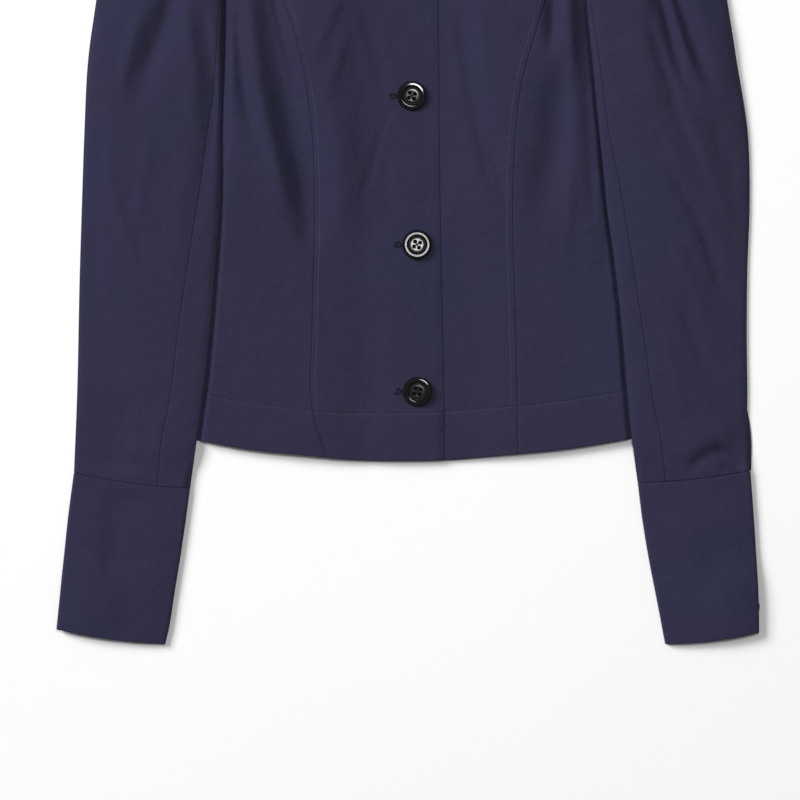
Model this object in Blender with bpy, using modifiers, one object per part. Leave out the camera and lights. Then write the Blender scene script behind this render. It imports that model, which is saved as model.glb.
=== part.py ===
"""Cropped blazer laid flat on its back, front up, sleeves resting on the sides of the body.

Lengths are in millimetres and become metres when a mesh is written.
X runs across the blazer (the wearer's right side is at -X), +Y to the neck, +Z up.
Cloth is a surface worked out from the tables below, given its thickness by Solidify.
"""
import math

import bpy
import numpy as np

MM = 0.001

# Driving dimensions
CLOTH = 1.2             # wall of a single layer
HEM_CLOTH = 2.0         # wall where the hem is turned up
HEM_STEP = HEM_CLOTH - CLOTH
HEM_DEPTH = 37.0        # turned-up hem, edge to stitch line
HEM_LEDGE = 1.6         # the wall thins to one layer over this much
CUFF_CLOTH = 1.8        # cuffs are two layers
LAPEL_CLOTH = 1.4
SEAM_GAP = 0.3          # between pieces that are sewn together
LAYER = CLOTH + SEAM_GAP
SLEEVE_HOLLOW = 0.8     # between the two layers of a flattened sleeve at its edges
ELBOW_SEAM_INSET = 12.0  # elbow seam, on the underside, in from the outer fold
SLANT_AT_HEAD = 3.0     # stations slant there, so their gap is this much wider along them
SEAM_FROM_FOLD = 8.0    # the front seam comes no nearer to the inner fold
CUFF_SLIT = 0.8
CUFF_SLIT_INSET = 18.0  # the cuff opens on its underside, this far in from its outer fold
CUFF_CROWN = 1.2
CUFF_BUMP_SLOPE = 26.0  # the cuff comes down to the surface over this much round its button
INNER_LAG = 0.27        # the inner fold is shorter than the outer, so its stations bunch at the head
RAMP_START = 40.0       # a sleeve starts to climb onto the body this far outside its side
RAMP_WIDTH = 22.0
SLEEVE_HEM_TOP = -138.0  # the hem's extra thickness ends below this height at the sides
FRONT_BUTTON = dict(radius=11.5, height=4.2, hole=1.1, hole_spread=3.0)
CUFF_BUTTON = dict(radius=9.0, height=3.2, hole=0.9, hole_spread=2.4)

# How finely each piece is divided
FRONT_ROWS = 17         # from the hem's stitch line to the top of the princess seam
UPPER_FRONT_ROWS = 4    # on to the shoulder
SLEEVE_STATIONS = 22
UPPER_COLUMNS = 10
UNDER_COLUMNS = 8
END_STEPS = 4           # in the half circle at a fold
CUFF_STATIONS = 9
CUFF_COLUMNS = 10
BUTTON_STEPS = 18

# Side seam and back armhole on each side: height, then x on the right and left side
SIDE_LINE = [
    # height, right, left
    (-174.2, -191.3, 198.0),
    (-55.0, -193.6, 186.0),
    (60.0, -205.0, 203.0),
    (118.0, -213.0, 218.0),
    (137.0, -212.0, 217.0),
    (164.0, -192.0, 196.0),
    (210.0, -180.0, 181.0),
    (249.0, -184.0, 184.0),
    (288.4, -192.0, 192.0),
]
UNDERARM = 137.0

# Lower edge of the hem, wearer's right to left: x, y
HEM_LINE = [(-191.3, -174.2), (-164.7, -179.6), (-127.3, -186.7), (-79.7, -191.8),
            (-39.9, -195.4), (-6.0, -195.9), (27.1, -195.5), (73.2, -191.8), (130.9, -185.9),
            (174.3, -178.5), (198.0, -174.2)]

# Outlines of each half, as points from the hem up: x, y
BODY = {
    "right": dict(
        princess=[(-63.3, -193.0), (-74.0, -158.0), (-74.6, -92.0), (-72.7, 7.6), (-74.6, 60.0),
                  (-78.6, 94.0), (-83.6, 118.0), (-97.7, 163.6), (-118.0, 196.0), (-147.0, 216.0)],
        armhole=[(-147.0, 216.0), (-155.0, 244.0), (-172.0, 271.0), (-193.0, 288.0)],
        front_edge=[(28.4, -195.5), (27.8, -148.4), (24.8, 7.6), (23.5, 163.6), (23.2, 222.0)],
        neck=(-75.0, 323.5),
    ),
    "left": dict(
        princess=[(85.6, -190.6), (85.1, -148.4), (84.1, -92.0), (81.7, 7.6), (84.1, 64.0),
                  (88.8, 100.0), (98.9, 136.0), (108.0, 163.6), (124.0, 194.0), (146.0, 216.0)],
        armhole=[(146.0, 216.0), (155.0, 244.0), (172.0, 271.0), (193.0, 288.0)],
        front_edge=[(-8.0, -195.8), (-9.0, -148.4), (-11.5, 7.6), (-12.6, 163.6), (-12.6, 222.0)],
        neck=(75.0, 323.5),
    ),
}
BACK_NECK = [(75.0, 323.5), (42.0, 319.0), (0.0, 317.0), (-42.0, 319.0), (-75.0, 323.5)]
BACK_HEM_RISE = 1.0     # the back ends this much short of the fronts
OVERLAP_RISE_FROM = 56.0  # where the lapping front starts to climb, in from its edge
OVERLAP_RISE_TO = 40.0

# Folds: start, middle and end (x, y), half width, height (troughs are negative)
BODY_FOLDS = [
    ((-124, 190), (-110, 110), (-77, -28), 7.5, -4.6),    # long fold into the right princess seam
    ((-138, 155), (-134, 125), (-130, 92), 5.0, -2.4),
    ((-131, 140), (-122, 88), (-110, 36), 7.0, 2.0),
    ((-19, 80), (-26, 48), (-34, 14), 6.0, -1.2),          # pull below the second buttonhole
    ((33, 176), (48, 82), (64, 4), 7.0, -3.4),
    ((110, 186), (106, 78), (96, -12), 7.5, -3.4),
    ((135, 140), (137, 60), (139, -6), 6.5, -2.6),
    ((124, 160), (124, 100), (122, 30), 8.0, 2.2),
]
CHEST_RISE = 5.5        # height of the cloth over the bust, where the folds run
CHESTS = [(-146.0, -24.0), (42.0, 150.0)]   # from x to x
SLEEVE_CLEARANCE = 5.0  # the fronts lie flat this far in from a sleeve's inner fold
CHEST_HEIGHTS = (-62.0, 214.0)              # from y to y

# Sleeves: outer fold, front seam and inner fold as points from the cuff up: x, y
SLEEVES = {
    "right": dict(
        outer=[(-260.9, -204.9), (-258.6, -148.4), (-256.3, -47.0), (-254.6, 7.6), (-252.7, 62.0),
               (-249.8, 117.0), (-243.5, 163.6), (-238.0, 202.0), (-232.0, 242.0),
               (-224.0, 270.0), (-211.0, 286.0), (-192.0, 291.0)],
        seam=[(-195.5, -214.0), (-192.0, -179.6), (-185.8, -148.4), (-180.2, -101.6),
              (-172.7, -47.0), (-164.8, 7.6), (-158.2, 62.0), (-150.3, 117.0), (-149.6, 160.0),
              (-149.2, 184.0)],
        inner=[(-170.2, -217.1), (-164.7, -179.6), (-160.3, -148.4), (-155.0, -101.6),
               (-150.5, -47.0), (-146.8, 7.6), (-146.2, 62.0), (-145.0, 117.0), (-144.6, 160.0),
               (-144.2, 184.0)],
        folds=[((-185, 236), (-201, 142), (-219, 96), 6.5, -4.4),
               ((-212, 170), (-217, 112), (-228, 76), 6.5, 2.4),
               ((-184, 160), (-195, 95), (-204, 50), 7.0, 2.0),
               ((-238, 40), (-229, -12), (-217, -50), 8.0, -1.6),
               ((-216, 262), (-222, 215), (-226, 165), 6.0, -3.0),
               ((-166, 236), (-172, 180), (-176, 120), 6.0, -2.6)],
    ),
    "left": dict(
        outer=[(267.0, -203.2), (265.0, -148.4), (264.3, -101.6), (264.8, -47.0), (266.6, 8.0),
               (265.1, 60.0), (256.3, 117.0), (248.9, 163.6), (242.0, 202.0), (235.0, 242.0),
               (226.0, 270.0), (212.0, 286.0), (192.0, 291.0)],
        seam=[(200.9, -210.8), (197.1, -179.6), (190.9, -148.4), (184.2, -101.6), (176.2, -47.0),
              (167.7, 7.6), (157.5, 62.0), (148.4, 117.0), (144.4, 160.0), (143.6, 184.0)],
        inner=[(179.1, -212.4), (174.4, -179.6), (171.2, -148.4), (167.5, -101.6), (161.5, -47.0),
               (153.9, 7.6), (148.6, 62.0), (143.4, 117.0), (139.4, 160.0), (138.6, 184.0)],
        folds=[((178, 226), (206, 126), (219, 92), 5.0, -4.4),
               ((190, 236), (222, 128), (248, 76), 5.0, -4.2),
               ((176, 190), (199, 96), (240, -2), 8.0, -2.2),
               ((206, 34), (218, -3), (230, -24), 7.0, -1.6),
               ((218, -197), (240, -184), (264, -201), 5.0, 1.8),
               ((214, 264), (226, 215), (238, 160), 6.0, -2.8)],
    ),
}
SLEEVE_RISE = [
    # share of the way up, height of the crown
    (0.0, 1.6),
    (0.25, 3.0),
    (0.6, 5.5),
    (0.85, 8.0),
    (1.0, 3.0),
]
HEAD_BULGE = (15.0, 8.0)   # how far the armhole end bows towards the neck
CUFF_BOW = 2.2              # how far the cuff's cut edges bow downwards

# Cuffs: outer and inner fold as points from the bottom edge up, and the button's centre
CUFFS = {
    "right": dict(
        outer=[(-274.2, -327.1), (-271.8, -304.0), (-268.9, -273.2), (-265.7, -242.0), (-260.9, -205.3)],
        inner=[(-189.5, -338.6), (-187.1, -328.6), (-181.9, -296.6), (-175.7, -257.6), (-170.2, -217.5)],
        button=(-262.8, -309.0),
    ),
    "left": dict(
        outer=[(273.6, -329.6), (273.2, -304.0), (271.8, -273.2), (269.9, -242.0), (267.0, -203.6)],
        inner=[(200.5, -338.8), (194.0, -304.4), (187.6, -271.7), (182.4, -239.7), (179.1, -212.8)],
        button=(265.4, -309.9),
    ),
}

# Lapels: roll line and outer edge, from the break up to the gorge
LAPELS = {
    "right": dict(roll=[(22.0, 225.0), (-12.0, 259.0), (-50.0, 294.4)],
                  edge=[(19.5, 222.0), (-25.0, 229.0), (-68.0, 243.0), (-97.0, 262.0)]),
    "left": dict(roll=[(9.0, 247.0), (32.0, 273.0), (50.0, 294.4)],
                 edge=[(11.0, 244.0), (40.0, 240.5), (72.0, 248.0), (97.0, 262.0)]),
}
# Collar, right half: neck seam, middle and fall edge, from the gorge to the centre back
COLLAR = dict(
    neck=[(-50.4, 295.0), (-66.0, 311.0), (-60.0, 317.0), (-30.0, 312.5), (0.0, 311.0)],
    middle=[(-72.0, 280.4), (-84.0, 302.0), (-78.0, 325.0), (-40.0, 328.0), (0.0, 327.0)],
    fall=[(-93.0, 288.0), (-101.0, 305.0), (-94.0, 327.0), (-52.0, 337.6), (0.0, 338.7)],
)
COLLAR_STAND = 4.0      # the collar rises this much behind the neck

BUTTON_CENTRES = [(7.3, -141.9), (6.9, -27.4), (2.9, 88.5), (2.5, 204.0)]

NAVY = (0.033, 0.030, 0.062)
BLACK = (0.012, 0.012, 0.014)


def eased(t):
    """Smooth step from 0 to 1."""
    t = np.clip(t, 0.0, 1.0)
    return t * t * (3.0 - 2.0 * t)


def through(keys, values, at):
    """Value at each of at, on a cubic curve through (keys, values)."""
    keys = np.asarray(keys, float)
    values = np.asarray(values, float)
    slopes = np.gradient(values, keys)
    low = np.clip(np.searchsorted(keys, at) - 1, 0, len(keys) - 2)
    span = keys[low + 1] - keys[low]
    t = np.clip((at - keys[low]) / span, 0.0, 1.0)
    return ((2 * t**3 - 3 * t**2 + 1) * values[low] + (t**3 - 2 * t**2 + t) * span * slopes[low]
            + (3 * t**2 - 2 * t**3) * values[low + 1] + (t**3 - t**2) * span * slopes[low + 1])


def smooth_line(points, fine=200):
    """A fine polyline on the smooth curve through points, with its running length."""
    points = np.asarray(points, float)
    chords = np.concatenate([[0.0], np.cumsum(np.linalg.norm(np.diff(points, axis=0), axis=1))])
    at = np.linspace(0.0, chords[-1], fine)
    line = np.column_stack([through(chords, points[:, k], at) for k in (0, 1)])
    length = np.concatenate([[0.0], np.cumsum(np.linalg.norm(np.diff(line, axis=0), axis=1))])
    return line, length


def along(points, shares):
    """Points at the given shares of the length of the smooth curve through points."""
    line, length = smooth_line(points)
    return np.column_stack([np.interp(np.asarray(shares) * length[-1], length, line[:, k])
                            for k in (0, 1)])


def hem_to_top(points):
    """Points up a seam: the hem edge, the hem's stitch line, then evenly to the end."""
    line, length = smooth_line(points)
    hem = [0.0, HEM_DEPTH / 2, HEM_DEPTH - HEM_LEDGE / 2, HEM_DEPTH + HEM_LEDGE / 2]
    rest = np.linspace(hem[-1], length[-1], FRONT_ROWS + 1)[1:]
    at = np.concatenate([hem, rest])
    return np.column_stack([np.interp(at, length, line[:, k]) for k in (0, 1)])


def between(first, second, columns, ends=False):
    """Columns of points from one line towards another; ends adds the second line itself."""
    steps = np.arange(columns + (1 if ends else 0)) / columns
    return [first + (second - first) * s for s in steps]


def side_x(side, y):
    """The x of the side seam and back armhole at height y."""
    heights, right, left = zip(*SIDE_LINE)
    return through(heights, right if side == "right" else left, y)


def path_distance(x, y, start, middle, end):
    """Distance to the two-part path, and how far along it the nearest point is, 0 to 1."""
    best = np.full(np.shape(x), 1e9)
    share = np.zeros(np.shape(x))
    for number, (a, b) in enumerate([(start, middle), (middle, end)]):
        dx = b[0] - a[0]
        dy = b[1] - a[1]
        t = np.clip(((x - a[0]) * dx + (y - a[1]) * dy) / (dx * dx + dy * dy), 0.0, 1.0)
        away = np.hypot(x - a[0] - t * dx, y - a[1] - t * dy)
        nearer = away < best
        best = np.where(nearer, away, best)
        share = np.where(nearer, (number + t) / 2, share)
    return best, share


def fold_height(x, y, folds):
    """Sum of the folds: each is a soft ridge or trough that fades out at both ends."""
    total = np.zeros(np.shape(x))
    for start, middle, end, half_width, height in folds:
        away, share = path_distance(x, y, start, middle, end)
        fade = eased(share / 0.25) * eased((1.0 - share) / 0.4)
        total += height * fade * np.exp(-(away / half_width) ** 2)
    return total


def body_lift(x, y):
    """How far the fronts stand up from the back: the chest's rise and its folds, never under 0."""
    rise = np.zeros(np.shape(x))
    for low, high in CHESTS:
        rise += eased((x - low) / 26.0) * eased((high - x) / 26.0)
    rise = rise * eased((y - CHEST_HEIGHTS[0]) / 110.0) * eased((CHEST_HEIGHTS[1] - y) / 60.0)
    lift = CHEST_RISE * rise + fold_height(x, y, BODY_FOLDS) * np.minimum(1.0, rise * 1.6)
    for side, way in (("right", 1.0), ("left", -1.0)):
        inner = np.asarray(SLEEVES[side]["inner"])
        edge = through(inner[:, 1], inner[:, 0], np.clip(y, inner[0, 1], inner[-1, 1]))
        lift = lift * eased((way * (x - edge) - SLEEVE_CLEARANCE) / 12.0)
    return np.maximum(lift, 0.0)


def floor_under_sleeve(side, x, y):
    """Height that a sleeve rests on: the surface, then a ramp up onto the body's two layers."""
    inside = (x - side_x(side, y)) * (1.0 if side == "right" else -1.0)
    body = 2 * LAYER + HEM_STEP * (1.0 - eased((y - SLEEVE_HEM_TOP) / 24.0))
    return body * eased((inside + RAMP_START) / RAMP_WIDTH)


def mesh_object(name, points, faces, collection, material):
    mesh = bpy.data.meshes.new(name)
    mesh.from_pydata([tuple(MM * float(c) for c in p) for p in points], [], faces)
    mesh.materials.append(material)
    obj = bpy.data.objects.new(name, mesh)
    collection.objects.link(obj)
    return obj


def grid_object(name, grid, collection, material):
    """A sheet through a grid of points, rows by columns."""
    rows, columns = grid.shape[:2]
    number = np.arange(rows * columns).reshape(rows, columns)
    faces = np.stack([number[:-1, :-1], number[:-1, 1:], number[1:, 1:], number[1:, :-1]], axis=-1)
    return mesh_object(name, grid.reshape(-1, 3), faces.reshape(-1, 4).tolist(), collection, material)


def thicken(obj, thickness, offset=1.0, thin_share=None, thick_points=None):
    """Give a sheet its wall; with thin_share, only thick_points get the whole thickness."""
    wall = obj.modifiers.new("Wall", "SOLIDIFY")
    wall.thickness = thickness * MM
    wall.offset = offset
    if thin_share is not None:
        group = obj.vertex_groups.new(name="double")
        group.add(thick_points, 1.0, "REPLACE")
        wall.vertex_group = group.name
        wall.thickness_vertex_group = thin_share


def body_panel(name, columns, laps, collection, material):
    """A front panel from columns of points; laps is 1 where a column lies on the other front."""
    grid = np.stack(columns, axis=1)
    hem_rows = 3
    lap_height = np.full(len(grid), LAYER)
    lap_height[:hem_rows] += HEM_STEP + 0.2
    heights = LAYER + lap_height[:, None] * np.asarray(laps)[None, :] + body_lift(grid[..., 0], grid[..., 1])
    panel = grid_object(name, np.dstack([grid, heights]), collection, material)
    doubled = list(range(hem_rows * grid.shape[1]))
    thicken(panel, HEM_CLOTH, thin_share=CLOTH / HEM_CLOTH, thick_points=doubled)


def on_hem(columns, hem_points):
    """Settle each column's lowest rows on the true hem line."""
    line = np.asarray(hem_points, float)
    for column in columns:
        miss = through(line[:, 0], line[:, 1], column[0, 0]) - column[0, 1]
        column[:, 1] += miss * (1.0 - eased((column[:, 1] - column[0, 1]) / 120.0))
    return columns


def add_fronts(side, collection, material):
    """The centre front and the side front of one side."""
    body = BODY[side]
    way = 1.0 if side == "right" else -1.0
    shift = np.array([way * SEAM_GAP / 2, 0.0])
    princess = hem_to_top(body["princess"])
    side_points = [(side_x(side, y), y) for y in np.linspace(SIDE_LINE[0][0], UNDERARM, 8)]
    side_seam = hem_to_top(side_points)
    covered = [(x + way * SLEEVE_CLEARANCE, y) for x, y in SLEEVES[side]["inner"] if y < 165.0]
    covered.append((body["princess"][-1][0] - way * 5.0, body["princess"][-1][1] - 9.0))
    cover = hem_to_top(covered)
    columns = between(side_seam, cover, 3) + between(cover, princess - shift, 6, ends=True)
    on_hem(columns, HEM_LINE)
    if side == "left":
        columns = columns[::-1]
    body_panel(side + "_side_front", columns, [0.0] * len(columns), collection, material)

    above = np.arange(1, UPPER_FRONT_ROWS + 1) / UPPER_FRONT_ROWS
    armhole = along(body["armhole"], above)
    seam = np.vstack([princess, armhole]) + shift
    edge_below = hem_to_top(body["front_edge"])
    edge_above = along([body["front_edge"][-1], body["neck"]], above)
    edge = np.vstack([edge_below, edge_above])
    if side == "right":
        narrowing = np.ones(len(edge))
        narrowing[-UPPER_FRONT_ROWS:] = 1.0 - 0.9 * above
        step_from = edge - np.column_stack([OVERLAP_RISE_FROM * narrowing, 0 * narrowing])
        step_to = edge - np.column_stack([OVERLAP_RISE_TO * narrowing, 0 * narrowing])
        columns = (between(seam, step_from, 6) + between(step_from, step_to, 1)
                   + between(step_to, edge, 3, ends=True))
        laps = [0.0] * 7 + [1.0] * 4
    else:
        columns = between(seam, edge, 9, ends=True)
        laps = [0.0] * len(columns)
    on_hem(columns, HEM_LINE)
    if side == "left":
        columns = columns[::-1]
    body_panel(side + "_front", columns, laps, collection, material)


def add_back(collection, material):
    """One flat panel, its outline running round by hem, side, armhole, shoulder and neck."""
    hem = along(HEM_LINE, np.linspace(0, 1, 17)) + [0.0, BACK_HEM_RISE]
    heights = np.concatenate([np.linspace(-140, 100, 6), [UNDERARM - 10, UNDERARM, 150, 164, 190, 220, 250]])
    left = [(side_x("left", y), y) for y in heights]
    right = [(side_x("right", y), y) for y in heights[::-1]]
    neck = along(BACK_NECK, np.linspace(0, 1, 9))
    outline = np.vstack([hem, left, [(192.0, 288.4)], neck, [(-192.0, 288.4)], right])
    curve = bpy.data.curves.new("back_body", "CURVE")
    curve.dimensions = "2D"
    curve.fill_mode = "BOTH"
    curve.extrude = CLOTH / 2 * MM
    spline = curve.splines.new("POLY")
    spline.points.add(len(outline) - 1)
    for point, (x, y) in zip(spline.points, outline):
        point.co = (x * MM, y * MM, 0.0, 1.0)
    spline.use_cyclic_u = True
    curve.materials.append(material)
    obj = bpy.data.objects.new("back_body", curve)
    obj.location.z = CLOTH / 2 * MM
    collection.objects.link(obj)


def round_end(fold, inward, low, radius, wall):
    """Centre line of the half circle at a fold, from the lower layer up to the upper one."""
    turn = np.linspace(-math.pi / 2, math.pi / 2, END_STEPS + 1)
    reach = radius + wall / 2 - radius * np.cos(turn)
    flat = fold[None, :] + inward[None, :] * reach[:, None]
    return flat, low + radius + radius * np.sin(turn)


def bow(flat, outer, toward, width, bulge):
    """Bow a station's points along bulge, most in the middle; also their share of the way across."""
    share = np.clip((flat - outer) @ toward / width, 0.0, 1.0)
    return flat + np.asarray(bulge)[None, :] * (4.0 * share * (1.0 - share))[:, None], share


def on_line(start, end, shares):
    return start[None, :] + (end - start)[None, :] * np.asarray(shares)[:, None]


def shares_between(start, end, steps):
    """Evenly spaced shares after start, up to and with end."""
    return start + (end - start) * np.arange(1, steps + 1) / steps


def sleeve_section(side, outer, seam, inner, up):
    """Centre lines of the upper and the under sleeve at one station, as x, y, z rows.

    up is the station's share of the way from cuff to head. The section is a flattened loop:
    a lower layer on the floor or the body, an upper layer with the crown and its folds, and a
    half circle at each fold.
    """
    width = np.linalg.norm(inner - outer)
    toward = (inner - outer) / width
    radius = (CLOTH + SLEEVE_HOLLOW) / 2
    reach = (radius + CLOTH / 2) / width
    way = 1.0 if side == "right" else -1.0
    bulge = (np.array([way * HEAD_BULGE[0], HEAD_BULGE[1]]) * eased((up - 0.6) / 0.4)
             - np.array([0.0, CUFF_BOW]) * (1.0 - eased(up / 0.15)))
    crown = through(*zip(*SLEEVE_RISE), up)

    def low(flat):
        place, _ = bow(flat, outer, toward, width, bulge)
        return place, floor_under_sleeve(side, place[:, 0], place[:, 1]) + CLOTH / 2

    def high(flat):
        place, height = low(flat)
        _, share = bow(flat, outer, toward, width, bulge)
        dome = np.sin(math.pi * np.clip((share - reach) / (1.0 - 2 * reach), 0.0, 1.0))
        folds = fold_height(place[:, 0], place[:, 1], SLEEVES[side]["folds"])
        lift = np.maximum(crown * dome + folds * np.minimum(1.0, 1.6 * dome), 0.0)
        return place, height + 2 * radius + lift

    def end(fold, inward):
        flat, height = round_end(fold, inward, low(fold[None, :])[1][0], radius, CLOTH)
        return bow(flat, outer, toward, width, bulge)[0], height

    gap = SEAM_GAP / 2 * (1.0 + SLANT_AT_HEAD * up) / width
    seam_share = min((seam - outer) @ toward, width - SEAM_FROM_FOLD) / width
    elbow = ELBOW_SEAM_INSET / width
    outer_end = end(outer, toward)
    inner_end = [part[::-1] for part in end(inner, -toward)]
    top = shares_between(reach, seam_share - gap, UPPER_COLUMNS)
    strip = [seam_share + gap, (seam_share + gap + 1.0 - reach) / 2]
    bottom = shares_between(1.0 - reach, elbow + gap, UNDER_COLUMNS)
    upper = [low(on_line(outer, inner, [elbow - gap])), outer_end, high(on_line(outer, inner, top))]
    under = [high(on_line(outer, inner, strip)), inner_end, low(on_line(outer, inner, bottom))]
    return [np.vstack([np.column_stack(part) for part in loop]) for loop in (upper, under)]


def add_sleeve(side, collection, material):
    """Upper sleeve over the top and round the outer fold; under sleeve round the inner fold."""
    sleeve = SLEEVES[side]
    up = np.linspace(0.0, 1.0, SLEEVE_STATIONS)
    inner_up = up * (1.0 + INNER_LAG * (1.0 - up))
    outer = along(sleeve["outer"], up)
    seam = along(sleeve["seam"], inner_up)
    inner = along(sleeve["inner"], inner_up)
    sections = [sleeve_section(side, *station) for station in zip(outer, seam, inner, up)]
    for number, name in enumerate(("_upper_sleeve", "_under_sleeve")):
        grid = np.stack([section[number] for section in sections])
        if side == "left":
            grid = grid[:, ::-1]
        thicken(grid_object(side + name, grid, collection, material), CLOTH, offset=0.0)


def cuff_floor(side, x, y):
    """The cuff lies on the surface, but for the soft bump over the button beneath it."""
    centre = CUFFS[side]["button"]
    away = np.hypot(x - centre[0], y - centre[1]) - CUFF_BUTTON["radius"] - 3.0
    return (CUFF_BUTTON["height"] + 0.5) * (1.0 - eased(away / CUFF_BUMP_SLOPE))


def cuff_section(side, outer, inner):
    """Centre line of the band at one station, from one edge of the slit round to the other."""
    width = np.linalg.norm(inner - outer)
    toward = (inner - outer) / width
    radius = (CUFF_CLOTH + SLEEVE_HOLLOW) / 2
    reach = (radius + CUFF_CLOTH / 2) / width
    bulge = (0.0, -CUFF_BOW)

    def low(flat):
        place, _ = bow(flat, outer, toward, width, bulge)
        return place, cuff_floor(side, place[:, 0], place[:, 1]) + CUFF_CLOTH / 2

    def high(flat):
        place, height = low(flat)
        _, share = bow(flat, outer, toward, width, bulge)
        return place, height + 2 * radius + CUFF_CROWN * np.sin(math.pi * share)

    def end(fold, inward):
        flat, height = round_end(fold, inward, low(fold[None, :])[1][0], radius, CUFF_CLOTH)
        return bow(flat, outer, toward, width, bulge)[0], height

    slit_start = (CUFF_SLIT_INSET - CUFF_SLIT / 2) / width
    slit_end = (CUFF_SLIT_INSET + CUFF_SLIT / 2) / width
    start = np.array([slit_start, (slit_start + reach) / 2])
    top = np.linspace(reach, 1.0 - reach, CUFF_COLUMNS + 1)[1:-1]
    bottom = shares_between(1.0 - reach, slit_end, CUFF_COLUMNS - 2)
    loop = [low(on_line(outer, inner, start)), end(outer, toward), high(on_line(outer, inner, top)),
            [part[::-1] for part in end(inner, -toward)], low(on_line(outer, inner, bottom))]
    return np.vstack([np.column_stack(part) for part in loop])


def add_cuff(side, collection, material):
    """A flattened band whose slit is on the underside, in from the outer fold."""
    up = np.linspace(0.0, 1.0, CUFF_STATIONS)
    outer = along(CUFFS[side]["outer"], up)
    inner = along(CUFFS[side]["inner"], up)
    grid = np.stack([cuff_section(side, *folds) for folds in zip(outer, inner)])
    if side == "left":
        grid = grid[:, ::-1]
    thicken(grid_object(side + "_cuff", grid, collection, material), CUFF_CLOTH, offset=0.0)


def add_lapel(side, collection, material):
    lapel = LAPELS[side]
    shares = np.linspace(0.0, 1.0, 9)
    roll = along(lapel["roll"], shares)
    edge = along(lapel["edge"], shares)
    columns = between(edge, roll, 4, ends=True)
    if side == "left":
        columns = columns[::-1]
    grid = np.stack(columns, axis=1)
    base = 3 * LAYER if side == "right" else 2 * LAYER
    heights = np.full(grid.shape[:2], base)
    obj = grid_object(side + "_lapel", np.dstack([grid, heights]), collection, material)
    thicken(obj, LAPEL_CLOTH)


def add_collar(collection, material):
    """Both halves in one strip from gorge to gorge, rising behind the neck."""
    shares = np.linspace(0.0, 1.0, 10)
    lines = [along(COLLAR[key], shares) for key in ("fall", "middle", "neck")]
    columns = between(lines[0], lines[1], 2) + between(lines[1], lines[2], 2, ends=True)
    half = np.stack(columns, axis=1)
    other = half[::-1][1:] * [-1.0, 1.0]
    grid = np.concatenate([half, other])
    x, y = grid[..., 0], grid[..., 1]
    base = LAYER * (3.0 - eased((x + 45.0) / 90.0))
    stand = COLLAR_STAND * eased((y - 312.0) / 26.0)
    thicken(grid_object("collar", np.dstack([grid, base + stand]), collection, material), LAPEL_CLOTH)


def button_profile(radius, height):
    """Half section of a rimmed button, from the top's middle to the underside's middle."""
    shape = [
        # share of radius, share of height
        (0.0, 0.72), (0.44, 0.72), (0.52, 0.52), (0.62, 0.56), (0.74, 0.92),
        (0.84, 1.0), (0.95, 0.86), (1.0, 0.55), (0.93, 0.2), (0.7, 0.0), (0.0, 0.0),
    ]
    return [(radius * r, height * h) for r, h in shape]


def add_button(name, centre, base, size, collection, cutters, material, face_down=False):
    profile = button_profile(size["radius"], size["height"])
    points = [(r, 0.0, h) for r, h in profile]
    edges = [(k, k + 1) for k in range(len(points) - 1)]
    mesh = bpy.data.meshes.new(name)
    mesh.from_pydata([tuple(MM * c for c in p) for p in points], edges, [])
    mesh.materials.append(material)
    obj = bpy.data.objects.new(name, mesh)
    collection.objects.link(obj)
    turn = obj.modifiers.new("Turned", "SCREW")
    turn.steps = BUTTON_STEPS
    turn.render_steps = BUTTON_STEPS
    turn.use_merge_vertices = True
    turn.merge_threshold = 0.00005
    turn.use_smooth_shade = True
    obj.location = (centre[0] * MM, centre[1] * MM, base * MM)
    if face_down:
        obj.rotation_euler.x = math.pi
        obj.location.z = (base + size["height"]) * MM
    half_spread = size["hole_spread"] / 2
    for number, (sx, sy) in enumerate([(-1, -1), (1, -1), (1, 1), (-1, 1)], start=1):
        bpy.ops.mesh.primitive_cylinder_add(vertices=6, radius=size["hole"] * MM,
                                            depth=4 * size["height"] * MM)
        drill = bpy.context.object
        drill.name = name + "_hole_" + str(number)
        drill.location = ((centre[0] + sx * half_spread) * MM,
                          (centre[1] + sy * half_spread) * MM, base * MM)
        drill.hide_render = True
        drill.display_type = "WIRE"
        for home in drill.users_collection:
            home.objects.unlink(drill)
        cutters.objects.link(drill)
        cut = obj.modifiers.new("Hole", "BOOLEAN")
        cut.operation = "DIFFERENCE"
        cut.solver = "EXACT"
        cut.object = drill


def finish(name, colour, roughness, sheen=0.0):
    material = bpy.data.materials.new(name)
    material.use_nodes = True
    shader = material.node_tree.nodes["Principled BSDF"]
    shader.inputs["Base Color"].default_value = (*colour, 1.0)
    shader.inputs["Roughness"].default_value = roughness
    shader.inputs["Metallic"].default_value = 0.0
    shader.inputs["Sheen Weight"].default_value = sheen
    return material


def main():
    for obj in list(bpy.data.objects):
        bpy.data.objects.remove(obj, do_unlink=True)
    blazer = bpy.data.collections.new("Cropped blazer")
    cutters = bpy.data.collections.new("Cutters")
    for collection in (blazer, cutters):
        bpy.context.scene.collection.children.link(collection)

    def cloth(name):
        return finish(name + "_cloth", NAVY, 0.8, sheen=0.2)

    add_back(blazer, cloth("back"))
    for side in ("right", "left"):
        add_fronts(side, blazer, cloth(side + "_front"))
        add_sleeve(side, blazer, cloth(side + "_sleeve"))
        add_cuff(side, blazer, cloth(side + "_cuff"))
        add_lapel(side, blazer, cloth(side + "_lapel"))
    add_collar(blazer, cloth("collar"))

    gloss = finish("button_gloss", BLACK, 0.12)
    on_fronts = 3 * LAYER + 0.05
    for number, centre in enumerate(BUTTON_CENTRES, start=1):
        add_button("front_button_" + str(number), centre, on_fronts, FRONT_BUTTON,
                   blazer, cutters, gloss)
    for side in ("right", "left"):
        add_button(side + "_cuff_button", CUFFS[side]["button"], 0.0, CUFF_BUTTON,
                   blazer, cutters, gloss, face_down=True)


main()
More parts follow.
